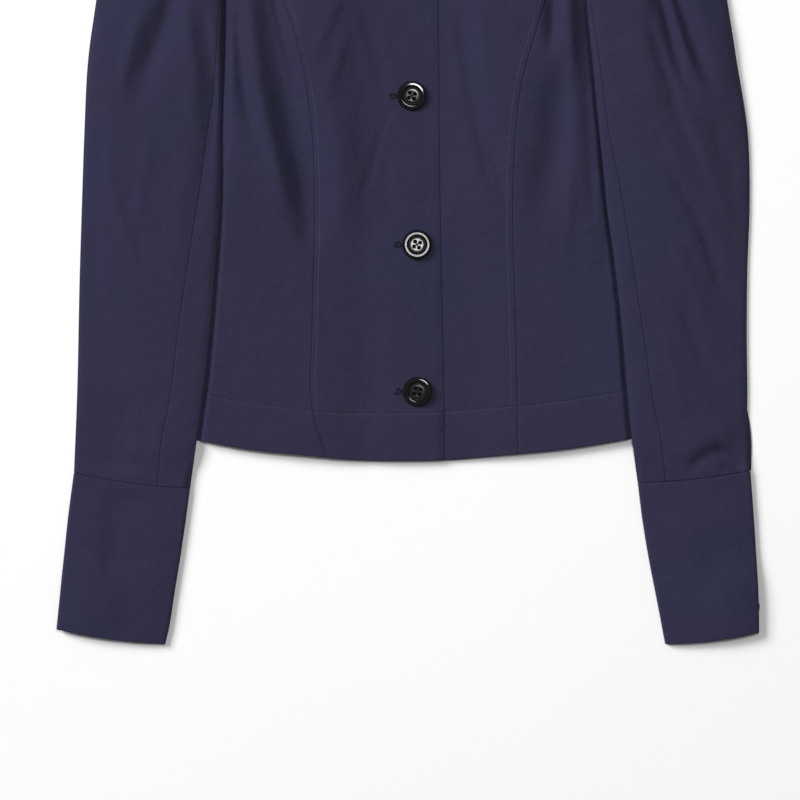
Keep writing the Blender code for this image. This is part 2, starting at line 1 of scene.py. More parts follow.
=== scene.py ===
import math
import bpy
import numpy as np
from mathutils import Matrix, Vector


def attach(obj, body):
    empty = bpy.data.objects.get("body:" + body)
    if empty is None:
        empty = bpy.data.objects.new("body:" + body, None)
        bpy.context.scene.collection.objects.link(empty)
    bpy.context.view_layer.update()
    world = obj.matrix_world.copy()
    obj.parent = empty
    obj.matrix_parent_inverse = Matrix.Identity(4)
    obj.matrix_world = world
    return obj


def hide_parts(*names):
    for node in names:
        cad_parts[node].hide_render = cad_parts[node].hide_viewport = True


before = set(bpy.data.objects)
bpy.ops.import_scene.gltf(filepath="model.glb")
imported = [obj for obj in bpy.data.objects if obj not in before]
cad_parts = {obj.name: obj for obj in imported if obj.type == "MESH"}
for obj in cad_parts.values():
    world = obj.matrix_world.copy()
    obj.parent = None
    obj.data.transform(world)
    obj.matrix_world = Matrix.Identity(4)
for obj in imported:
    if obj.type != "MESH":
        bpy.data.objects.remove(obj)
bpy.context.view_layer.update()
mm = 0.001
print("frame loaded:", len(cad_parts), "nodes")

# Lengths are in millimetres until a mesh is made. The wearer's right side is at -X.
inward = dict(right=1.0, left=-1.0)         # sign of x from each side towards the middle
# hemSlope is the length over which the wall thickens into the hem; the grids' first and last
# columns are this narrow, and narrower on the small pieces.
cloth = dict(wall=1.2, hem=2.0, cuff=1.8, lapel=1.4, seamGap=0.04, layer=1.5, hollow=0.8,
             hemDepth=37.0, hemSlope=28.0, rim=0.10, firstColumn=1.3, smallColumn=1.2)


# curves and soft steps

def eased(t):
    # smooth step from 0 to 1: 3t^2 - 2t^3
    t = np.clip(t, 0.0, 1.0)
    return t * t * (3.0 - 2.0 * t)


def through(keys, values, at):
    # cubic curve through the keys, with slopes taken from the neighbours on both sides
    keys = np.asarray(keys, float)
    values = np.asarray(values, float)
    slopes = np.gradient(values, keys)
    low = np.clip(np.searchsorted(keys, at) - 1, 0, len(keys) - 2)
    span = keys[low + 1] - keys[low]
    t = np.clip((at - keys[low]) / span, 0.0, 1.0)
    return ((2 * t**3 - 3 * t**2 + 1) * values[low] + (t**3 - 2 * t**2 + t) * span * slopes[low]
            + (3 * t**2 - 2 * t**3) * values[low + 1] + (t**3 - t**2) * span * slopes[low + 1])


def runningLength(line):
    # 0 at the first point, then the sum of the steps so far
    return np.concatenate([[0.0], np.cumsum(np.linalg.norm(np.diff(line, axis=0), axis=1))])


def pointsAt(line, length, at):
    # points of a fine line at these lengths along it
    return np.column_stack([np.interp(at, length, line[:, k]) for k in range(line.shape[1])])


def smoothLine(points, fine=500):
    # the curve through the points, in fine steps, with its running length
    points = np.asarray(points, float)
    chords = runningLength(points)
    at = np.linspace(0.0, chords[-1], fine)
    line = np.column_stack([through(chords, points[:, k], at) for k in range(points.shape[1])])
    return line, runningLength(line)


def along(points, shares):
    # points at these shares of the curve's length
    line, length = smoothLine(points)
    return pointsAt(line, length, np.asarray(shares) * length[-1])


def withEnds(count, width, first=cloth["firstColumn"]):
    # even shares of a width, with one narrow step at each end
    narrow = first / width
    return np.concatenate([[0.0], np.linspace(narrow, 1.0 - narrow, count), [1.0]])


def between(first, second, shares):
    # a grid of rows: first + (second - first) * share, for each pair of points
    return first[:, None] + (second - first)[:, None] * shares[None, :, None]


def bell(away, height, width):
    return height * np.exp(-(away / width) ** 2)


def unevenWave(at, rate, drift, wander=2.0, shift=0.0):
    # a wave of this rate, in radians a millimetre, that drifts slowly to and fro
    return np.sin(at * rate + shift + wander * np.sin(at * drift))


def foldHeight(x, y, folds):
    # each fold is a bell across its path, with a width for each side, times a fade at both ends
    total = np.zeros(np.shape(x))
    for points, lowSide, highSide, height, fadeIn, fadeOut in folds:
        line, length = smoothLine(points, 36)
        reach = 3.0 * max(lowSide, highSide)
        near = ((x > line[:, 0].min() - reach) & (x < line[:, 0].max() + reach)
                & (y > line[:, 1].min() - reach) & (y < line[:, 1].max() + reach))
        if not near.any():
            continue
        px, py = x[near][:, None], y[near][:, None]
        a, b = line[:-1], line[1:]
        step = b - a
        t = np.clip(((px - a[:, 0]) * step[:, 0] + (py - a[:, 1]) * step[:, 1])
                    / (step ** 2).sum(axis=1), 0.0, 1.0)
        dx = px - a[:, 0] - t * step[:, 0]
        dy = py - a[:, 1] - t * step[:, 1]
        away = np.hypot(dx, dy)
        best = away.argmin(axis=1)
        pick = np.arange(len(best))
        share = (length[best] + t[pick, best] * (length[best + 1] - length[best])) / length[-1]
        width = np.where(dx[pick, best] < 0, lowSide, highSide)
        total[near] += (bell(away[pick, best], height, width) * eased(share / fadeIn)
                        * eased((1.0 - share) / fadeOut))
    return total


def ripple(x, y, waves):
    # a sum of long low waves: height * sin(x / across + y / upward + phase)
    total = np.zeros(np.shape(x))
    for height, across, upward, phase in waves:
        total += height * np.sin(x / across + y / upward + phase)
    return total


# meshes

def makeMesh(name, points, faces, uvs, material):
    # faces is a list of arrays of quads or triangles; uvs has a row for each point, in metres
    mesh = bpy.data.meshes.new(name)
    mesh.from_pydata((np.asarray(points) * mm).tolist(), [],
                     [face for group in faces for face in np.asarray(group).tolist()])
    if uvs is not None:
        corner = np.empty(len(mesh.loops), dtype=np.int32)
        mesh.loops.foreach_get("vertex_index", corner)
        layer = mesh.uv_layers.new(name="grain")
        layer.data.foreach_set("uv", np.asarray(uvs)[corner].astype(np.float32).ravel() * mm)
    mesh.polygons.foreach_set("use_smooth", np.ones(len(mesh.polygons), dtype=bool))
    mesh.materials.append(material)
    mesh.update()
    obj = bpy.data.objects.new(name, mesh)
    bpy.context.scene.collection.objects.link(obj)
    return obj


def gridQuads(number):
    # quads of a grid of point numbers, facing up where rows go +Y and columns +X
    return np.stack([number[:-1, :-1], number[:-1, 1:], number[1:, 1:], number[1:, :-1]],
                    axis=-1).reshape(-1, 4)


def roundGrid(number):
    # quads of rings of point numbers, closed from the last column to the first
    wrap = np.concatenate([number, number[:, :1]], axis=1)
    return np.stack([wrap[:-1, :-1], wrap[1:, :-1], wrap[1:, 1:], wrap[:-1, 1:]],
                    axis=-1).reshape(-1, 4)


def gridNormals(grid):
    # across x upward, of length 1
    normal = np.cross(np.gradient(grid, axis=1), np.gradient(grid, axis=0))
    return normal / np.linalg.norm(normal, axis=2, keepdims=True)


panels = {}


def addCloth(name, mid, thickness, grain=None, rim=None, flip=False, node=None, **facts):
    # a closed wall: the middle surface moved half its thickness each way along the normals,
    # and a half round of three rings where the two meet along the outline
    rim = cloth["rim"] if rim is None else rim
    mid = mid[:, ::-1] if flip else mid
    rows, columns = mid.shape[:2]
    normal = gridNormals(mid)
    half = np.broadcast_to(np.asarray(thickness, float) / 2, (rows, columns))[..., None]
    ring = (np.concatenate([np.zeros(columns, int), np.arange(1, rows),
                            np.full(columns - 1, rows - 1), np.arange(rows - 2, 0, -1)]),
            np.concatenate([np.arange(columns), np.full(rows - 1, columns - 1),
                            np.arange(columns - 2, -1, -1), np.zeros(rows - 2, int)]))
    edge, edgeUp, edgeHalf = mid[ring], normal[ring], half[ring]
    tangent = np.roll(edge, -1, axis=0) - np.roll(edge, 1, axis=0)
    outward = np.cross(tangent, edgeUp)
    outward /= np.linalg.norm(outward, axis=1, keepdims=True)
    outer = mid + normal * half
    inner = mid - normal * half
    outer[ring] = edge - outward * rim + edgeUp * edgeHalf
    inner[ring] = edge - outward * rim - edgeUp * edgeHalf
    rings = [edge - outward * rim * (1 - math.cos(a)) + edgeUp * edgeHalf * math.sin(a)
             for a in (math.pi / 4, 0.0, -math.pi / 4)]
    if grain is None:
        # the weave follows the surface: running lengths across and up the grid
        across, upward = [
            np.cumsum(np.linalg.norm(np.diff(mid, axis=k, prepend=first), axis=2), axis=k)
            for k, first in ((1, mid[:, :1]), (0, mid[:1]))]
        grain = np.dstack([across - across[:, columns // 2][:, None], upward])
    number = np.arange(rows * columns).reshape(rows, columns)
    count = len(edge)
    loops = [number[ring]]
    loops += [2 * rows * columns + k * count + np.arange(count) for k in range(3)]
    loops += [number[ring] + rows * columns]
    strips = [np.stack([a, b, np.roll(b, -1), np.roll(a, -1)], axis=-1)
              for a, b in zip(loops[:-1], loops[1:])]
    points = np.vstack([outer.reshape(-1, 3), inner.reshape(-1, 3)] + rings)
    uvs = np.vstack([grain.reshape(-1, 2)] * 2 + [grain[ring]] * 3)
    quads = gridQuads(number)
    faces = [quads, quads[:, ::-1] + rows * columns] + strips
    piece = makeMesh(node or name + "Cloth", points, faces, uvs, clothPaint)
    if node is None:
        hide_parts(name)
    panels[name] = dict(piece=piece, top=outer, normal=normal, **facts)


def strands(name, centres, tangents, ups, lengths, radius, arch, material):
    # short threads: a six-sided capsule stretched along each tangent, its ends arched down;
    # its girth at a share r of its half length is the square root of 1 - r^4
    sides = 6
    rings = np.linspace(-1.0, 1.0, sides)
    turn = np.linspace(0, 2 * math.pi, sides, endpoint=False)
    girth = np.sqrt(np.clip(1.0 - rings ** 4, 0.0, 1.0)) * 0.94 + 0.06
    u = np.repeat(rings, sides)
    v = (girth[:, None] * np.cos(turn)[None, :]).ravel() * radius
    w = (girth[:, None] * np.sin(turn)[None, :]).ravel() * radius - arch * u ** 2
    tangents = tangents / np.linalg.norm(tangents, axis=1, keepdims=True)
    side = np.cross(ups, tangents)
    side /= np.linalg.norm(side, axis=1, keepdims=True)
    top = np.cross(tangents, side)
    half = np.broadcast_to(np.asarray(lengths, float) / 2, (len(centres),))
    points = (centres[:, None] + tangents[:, None] * (u[None, :] * half[:, None])[..., None]
              + side[:, None] * v[None, :, None] + top[:, None] * w[None, :, None])
    wrap = roundGrid(np.arange(sides * sides).reshape(sides, sides))
    start = np.array([[0, 1, 2, 3], [0, 3, 4, 5]])
    one = np.vstack([wrap[:, ::-1], start, (start + sides * (sides - 1))[:, ::-1]])
    faces = one[None] + sides * sides * np.arange(len(centres))[:, None, None]
    return makeMesh(name, points.reshape(-1, 3), [faces.reshape(-1, 4)], None, material)


def stitchLine(name, line, ups, material, pitch=2.2, length=1.3, radius=0.24, lift=0.05):
    # stitches at an even pitch along a line of points
    run = runningLength(line)
    at = np.arange(pitch / 2, run[-1], pitch)
    tangents = pointsAt(line, run, at + 0.5) - pointsAt(line, run, at - 0.5)
    normals = pointsAt(ups, run, at)
    return strands(name, pointsAt(line, run, at) + normals * lift, tangents, normals, length,
                   radius, 0.25, material)


# materials

class Wire:
    # a socket in a material; arithmetic on it adds Math nodes
    def __init__(self, paint, socket):
        self.paint = paint
        self.socket = socket

    def maths(self, operation, *values):
        inputs = dict(enumerate(values))
        return self.paint.node("ShaderNodeMath", {"operation": operation}, inputs)

    def __add__(self, other):
        return self.maths("ADD", self, other)

    def __mul__(self, other):
        return self.maths("MULTIPLY", self, other)

    def __sub__(self, other):
        return self.maths("SUBTRACT", self, other)

    def __rsub__(self, other):
        return self.maths("SUBTRACT", other, self)

    __radd__ = __add__

    def sine(self):
        return self.maths("SINE", self)

    def under(self, limit):
        return self.maths("LESS_THAN", self, limit)


class Paint:
    # one material and its shader
    def __init__(self, name, **constants):
        self.material = bpy.data.materials.new(name)
        self.material.use_nodes = True
        self.nodes = self.material.node_tree.nodes
        self.links = self.material.node_tree.links
        self.shader = self.nodes["Principled BSDF"]
        for socket, value in constants.items():
            self.feed(self.shader.inputs[socket.replace("_", " ")], value)

    def feed(self, socket, value):
        if isinstance(value, Wire):
            self.links.new(value.socket, socket)
        elif socket.type == "RGBA":
            socket.default_value = (*value, 1.0)
        else:
            socket.default_value = value

    def node(self, kind, settings, inputs, output=0):
        # settings are set first, then each socket gets its value or its link
        made = self.nodes.new(kind)
        for key, value in settings.items():
            if key == "stops":
                ramp = made.color_ramp
                for number, (place, level) in enumerate(value):
                    stop = ramp.elements[number] if number < 2 else ramp.elements.new(place)
                    stop.position = place
                    stop.color = (level, level, level, 1.0)
            else:
                setattr(made, key, value)
        for key, value in inputs.items():
            self.feed(made.inputs[key], value)
        return Wire(self, made.outputs[output])

    def place(self, output="Object"):
        return self.node("ShaderNodeTexCoord", {}, {}, output)

    def axis(self, vector, number):
        return self.node("ShaderNodeSeparateXYZ", {}, {0: vector}, number)

    def noise(self, vector, scale, detail=2.0, roughness=0.5):
        return self.node("ShaderNodeTexNoise", {}, {"Vector": vector, "Scale": scale,
                                                    "Detail": detail, "Roughness": roughness})

    def mix(self, factor, first, second):
        return self.node("ShaderNodeMix", {"data_type": "RGBA"},
                         {"Factor": factor, 6: first, 7: second}, 2)

    def bump(self, height, distance, strength=1.0, under=None):
        inputs = {"Height": height, "Distance": distance, "Strength": strength}
        if under is not None:
            inputs["Normal"] = under
        return self.node("ShaderNodeBump", {}, inputs)

    def finish(self, colour, roughness=None, normal=None):
        for socket, value in (("Base Color", colour), ("Roughness", roughness),
                              ("Normal", normal)):
            if value is not None:
                self.feed(self.shader.inputs[socket], value)
        return self.material


def paintCloth():
    # fine plain weave: warp and weft sines multiplied, with slubs and a broad colour drift
    # of violet and blue, over two scales of fine wrinkles
    look = dict(violet=(0.0275, 0.0236, 0.0532), blue=(0.0240, 0.0240, 0.0548),
                dark=(0.0188, 0.0177, 0.0390), threadPitch=0.00036, weaveDepth=0.00004,
                slubs=(2600.0, 160.0, 1.0), driftScale=9.0, wrinkleScale=48.0,
                wrinkleDepth=0.0017, fineScale=260.0, fineDepth=0.00007)
    paint = Paint("navyCloth", Roughness=0.82, Specular_IOR_Level=0.22, Sheen_Weight=0.07,
                  Sheen_Roughness=0.45, Sheen_Tint=(0.62, 0.60, 0.85))
    grain, room = paint.place("UV"), paint.place("Object")
    turns = 2 * math.pi / look["threadPitch"]
    warp, weft = [(paint.axis(grain, number) * turns).sine() for number in (0, 1)]
    weave = warp * weft * 0.5 + 0.5
    stretched = paint.node("ShaderNodeMapping", {}, {"Vector": grain, "Scale": look["slubs"]})
    slubs = paint.noise(stretched, 1.0)
    drift = paint.node("ShaderNodeValToRGB", {"stops": [(0.38, 0.0), (0.62, 1.0)]},
                       {"Fac": paint.noise(room, look["driftScale"], 2.0, 0.45)})
    colour = paint.mix(drift, look["violet"], look["blue"])
    colour = paint.mix((1.0 - weave) * 0.10 + (1.0 - slubs) * 0.16, colour, look["dark"])
    wrinkles = paint.noise(room, look["wrinkleScale"], 4.0, 0.6)
    fine = paint.bump(paint.noise(room, look["fineScale"]), look["fineDepth"], 0.6,
                      paint.bump(wrinkles, look["wrinkleDepth"]))
    return paint.finish(colour, 0.74 + slubs * 0.14,
                        paint.bump(weave, look["weaveDepth"], 0.5, fine))


def paintThread(name, colour, roughness, shine):
    # twisted thread: fine noise in colour and a slight roughness change
    paint = Paint(name, Specular_IOR_Level=shine)
    fibre = paint.noise(paint.place("Object"), 4200.0)
    return paint.finish(paint.mix(fibre, colour, tuple(0.6 * c for c in colour)),
                        roughness + fibre * 0.15, paint.bump(fibre, 0.00003, 0.5))


def paintButton():
    # polished black plastic, duller on the disc in the middle and dull in the groove round it;
    # u is the share of the radius
    look = dict(disc=0.47, groove=0.665, darker=(0.0030, 0.0030, 0.0035),
                lighter=(0.0055, 0.0055, 0.006))
    paint = Paint("buttonGloss", IOR=1.45)
    cloud = paint.noise(paint.place("Object"), 260.0)
    fromMiddle = paint.axis(paint.place("UV"), 0)
    disc = fromMiddle.under(look["disc"])
    groove = fromMiddle.under(look["groove"]) - disc
    return paint.finish(paint.mix(cloud, look["darker"], look["lighter"]),
                        0.05 + cloud * 0.04 + disc * 0.13 + groove * 0.45)


def paintFloor():
    paint = Paint("paleFloor", Roughness=0.9, Specular_IOR_Level=0.1)
    return paint.finish(paint.mix(paint.noise(paint.place("Object"), 3.0),
                                  (0.870, 0.870, 0.865), (0.885, 0.885, 0.880)))


clothPaint = paintCloth()
threadPaint = paintThread("topstitchThread", (0.125, 0.112, 0.190), 0.6, 0.3)
cuffThreadPaint = paintThread("cuffThread", (0.055, 0.050, 0.092), 0.6, 0.3)
darkThreadPaint = paintThread("buttonholeThread", (0.010, 0.010, 0.016), 0.3, 0.35)
buttonPaint = paintButton()
print("materials made")


# body

sideLine = [
    # height, x on the right side, x on the left side
    (-174.2, -191.3, 198), (-55, -193.6, 186), (60, -205, 203),
    (118, -213, 218), (137, -212, 217), (164, -192, 196),
    (210, -180, 181), (249, -184, 184), (288.4, -192, 192)]

body = dict(
    underarm=137,
    hemLine=[(-191.3, -174.2), (-164.7, -179.6), (-127.3, -186.7), (-79.7, -191.8),
             (-39.9, -195.4), (-6, -195.9), (27.1, -195.5), (73.2, -191.8), (130.9, -185.9),
             (174.3, -178.5), (198, -174.2)],
    backHemRise=1,
    backNeck=[(-75, 323.5), (-42, 319), (0, 317), (42, 319), (75, 323.5)],
    lapFrom=66, lapTo=40,               # the lapping front climbs, in from its edge
    # it climbs a little more over the hem, and its edge is pressed down and thin
    lapRise=0.75, lapRiseOver=6, lapDrop=0.65, lapDropWidth=36, lapNarrowing=0.9,
    edgeThin=0.58, hemEdgeThin=0.15, edgeWidth=5,
    underDrop=dict(depth=0.25, start=50, slope=30),     # of the left front below the lap
    # how far the cloth lifts over each side of the chest: from x, to x, and the borders' widths
    chestRise=5.5,
    chests=[(-172, -14, 26, 62), (14, 168, 52, 26)],
    chestHeights=(-62, 214, 110, 60),
    # looseness in the middle and further out; it starts at these x and ends below the lapels
    ease=dict(middle=0.6, onRight=3.8, onLeft=2.6, left=-18, right=38, border=55,
              top=188, topBorder=32),
    ditchRise=1.6, wavesShare=0.8, lowest=-0.12,
    # depth and width of the dips at the hem's stitches and the seams
    hemDip=(0.5, 0.9), seamDip=(0.07, 2.2),
    # puckers: depth, reach and wave; by the seams they start at one depth and deepen by
    # another, from a height and over a length
    hemPucker=0.1, hemPuckerReach=5, hemPuckerWave=(0.72, 0.061),
    seamPucker=(0.16, 0.26), seamPuckerRise=(-60, 90), seamPuckerReach=14,
    seamPuckerWave=(0.95, 0.05, 2.2), seamPuckerSlant=0.5,
    hemRows=14, bodyRows=150, upperRows=44, upperLength=130, columnPitch=2.5, sidePitch=1.4,
    lowerRows=100, hemSettle=120, backRows=90, backColumns=140, backLength=480,
    right=dict(
        princess=[(-63.3, -193), (-74, -158), (-74.6, -92), (-72.7, 7.6), (-74.6, 60),
                  (-78.6, 94), (-83.6, 118), (-97.7, 163.6), (-118, 196), (-147, 216)],
        armhole=[(-147, 216), (-155, 244), (-172, 271), (-193, 288)],
        frontEdge=[(28.4, -195.5), (27.8, -148.4), (24.8, 7.6), (23.5, 163.6), (23.2, 222)],
        neck=(-75, 323.5), topstitch=3.8, edgeSlope=8,
        # height, width of the ditch beside the sleeve, share of the lift that rises at once
        ditch=[(-200, 3.4, 1), (-60, 3.2, 1), (20, 2.6, 0.9), (70, 1.5, 0.4),
               (180, 0.6, 0.08)]),
    left=dict(
        princess=[(85.6, -190.6), (85.1, -148.4), (84.1, -92), (81.7, 7.6), (84.1, 64),
                  (88.8, 100), (98.9, 136), (108, 163.6), (124, 194), (146, 216)],
        armhole=[(146, 216), (155, 244), (172, 271), (193, 288)],
        frontEdge=[(-8, -195.8), (-9, -148.4), (-11.5, 7.6), (-12.6, 163.6), (-12.6, 222)],
        neck=(75, 323.5), topstitch=4.8, edgeSlope=17,
        ditch=[(-200, 2.4, 1), (-60, 1.8, 1), (20, 1.1, 0.8), (70, 0.9, 0.5),
               (180, 0.7, 0.12)]),
)

# path from the top down, width towards -X and +X, height, share of the path it takes to fade
bodyFolds = [
    # long fold into the right princess seam: a narrow trough, wider in its middle
    ([(-114, 199), (-109, 175), (-105, 148), (-101, 117), (-96, 89), (-90, 58), (-84, 31),
      (-79, 4), (-76, -24), (-75, -44), (-74, -58)], 9.5, 16, -3.8, 0.1, 0.2),
    ([(-99, 135), (-92, 92), (-84, 58), (-78, 31), (-75, 4), (-74, -30), (-73, -44)],
     18, 18, -5, 0.35, 0.4),
    # ridges and a thin trough along it
    ([(-128, 187), (-123, 156), (-120, 128), (-117, 101), (-113, 78), (-107, 54), (-100, 23),
      (-93, -12), (-87, -36)], 7.5, 7, 3, 0.2, 0.35),
    ([(-106, 175), (-99, 140), (-92, 115), (-88, 95)], 3, 3, -1.6, 0.2, 0.4),
    ([(-94, 156), (-86, 128), (-80, 93), (-77, 62), (-76, 39)], 4.2, 4, 1.1, 0.3, 0.4),
    # trough beside the right sleeve
    ([(-138, 160), (-132, 135), (-129, 109), (-126, 86), (-122, 66), (-118, 40)],
     6.5, 4.5, -3.2, 0.15, 0.4),
    # drag lines spreading from the right shoulder
    ([(-51, 175), (-61, 148), (-72, 123), (-76, 112)], 3.5, 3.5, 1.1, 0.3, 0.3),
    ([(-42, 150), (-53, 123), (-63, 92), (-66, 76)], 4.5, 4, 1.1, 0.3, 0.4),
    ([(-43, 164), (-37, 136), (-29, 105), (-25, 89)], 4.5, 3.1, 1.2, 0.3, 0.3),
    ([(-22, 152), (-17, 128), (-12, 106), (-9, 96)], 3.5, 4.5, 1, 0.3, 0.3),
    # pull down from the second buttonhole
    ([(-12, 82), (-19, 67), (-27, 40), (-34, 15), (-39, -4)], 2.8, 4.5, -1.7, 0.1, 0.4),
    # broad roll between the seam and the buttonholes
    ([(-55, 89), (-53, 54), (-52, 15), (-50, -24)], 11, 18, 1.8, 0.3, 0.3),
    ([(-16, 70), (-15, 31), (-15, -8), (-17, -28)], 8, 3.5, -1.2, 0.3, 0.3),
    # long thin trough on the left front
    ([(39, 164), (42, 140), (49, 93), (56, 58), (64, 23), (70, 3), (74, -10)],
     5, 12, -2.4, 0.2, 0.3),
    ([(55, 171), (57, 125), (64, 79), (66, 62)], 4.2, 5.5, 1.2, 0.3, 0.4),
    ([(63, 53), (68, 35), (76, 4), (79, -10)], 2.7, 4.7, -1, 0.2, 0.4),
    # deep fold outside the left princess seam
    ([(113, 199), (113, 156), (112, 132), (110, 115)], 7, 5, -5.5, 0.1, 0.35),
    ([(119, 124), (119, 93), (117, 66), (114, 43), (109, 19), (104, -4), (100, -28)],
     15, 13, -5.5, 0.25, 0.4),
    # ridge outside it, and the trough beside the left sleeve
    ([(126, 179), (126, 143), (126, 93), (127, 58), (126, 23), (124, -16), (121, -51),
      (118, -78)], 4, 5, 1.2, 0.1, 0.4),
    ([(138, 117), (140, 78), (143, 23), (144, -30)], 7, 3.5, -1.6, 0.2, 0.4),
    # soft pull towards the lowest button, and one beside the left seam
    ([(-68, -74), (-58, -98), (-42, -119), (-22, -132), (-8, -137)], 5, 3.5, -2, 0.3, 0.2),
    ([(46, -60), (52, -92), (60, -122), (70, -148)], 6, 7, -1.6, 0.3, 0.3),
    ([(112, -96), (119, -122), (124, -144)], 5, 5, 0.8, 0.3, 0.3),
    # low place beside the right sleeve at the hem
    ([(-136, -130), (-133, -152), (-134, -182)], 20, 30, -1.2, 0.4, 0.3),
]
hemFolds = [
    # short creases by the front edge
    ([(-9, -165), (0, -171), (9, -178), (16, -185)], 2.2, 2.2, -0.8, 0.3, 0.3),
    ([(34, -127), (46, -129), (57, -136), (64, -146)], 2.2, 3, -0.7, 0.3, 0.3),
    ([(-72, -157), (-67, -176), (-64, -194)], 3, 4, -0.5, 0.3, 0.2),
    ([(-3, -162), (8, -170), (20, -182)], 2.6, 3.2, 0.6, 0.3, 0.3),
    ([(50, -136), (51, -141), (51, -147)], 2, 2, -0.5, 0.3, 0.3),
    ([(-44, -150), (-41, -155), (-36, -160)], 2.5, 2.5, -0.4, 0.3, 0.3),
]
clothWaves = [
    # height, length across, length upward, phase
    (0.16, 31, 74, 0.4), (0.12, -19, 47, 2.1), (0.07, 11, 33, 4),
    (0.05, -8, 17, 1.3),
]

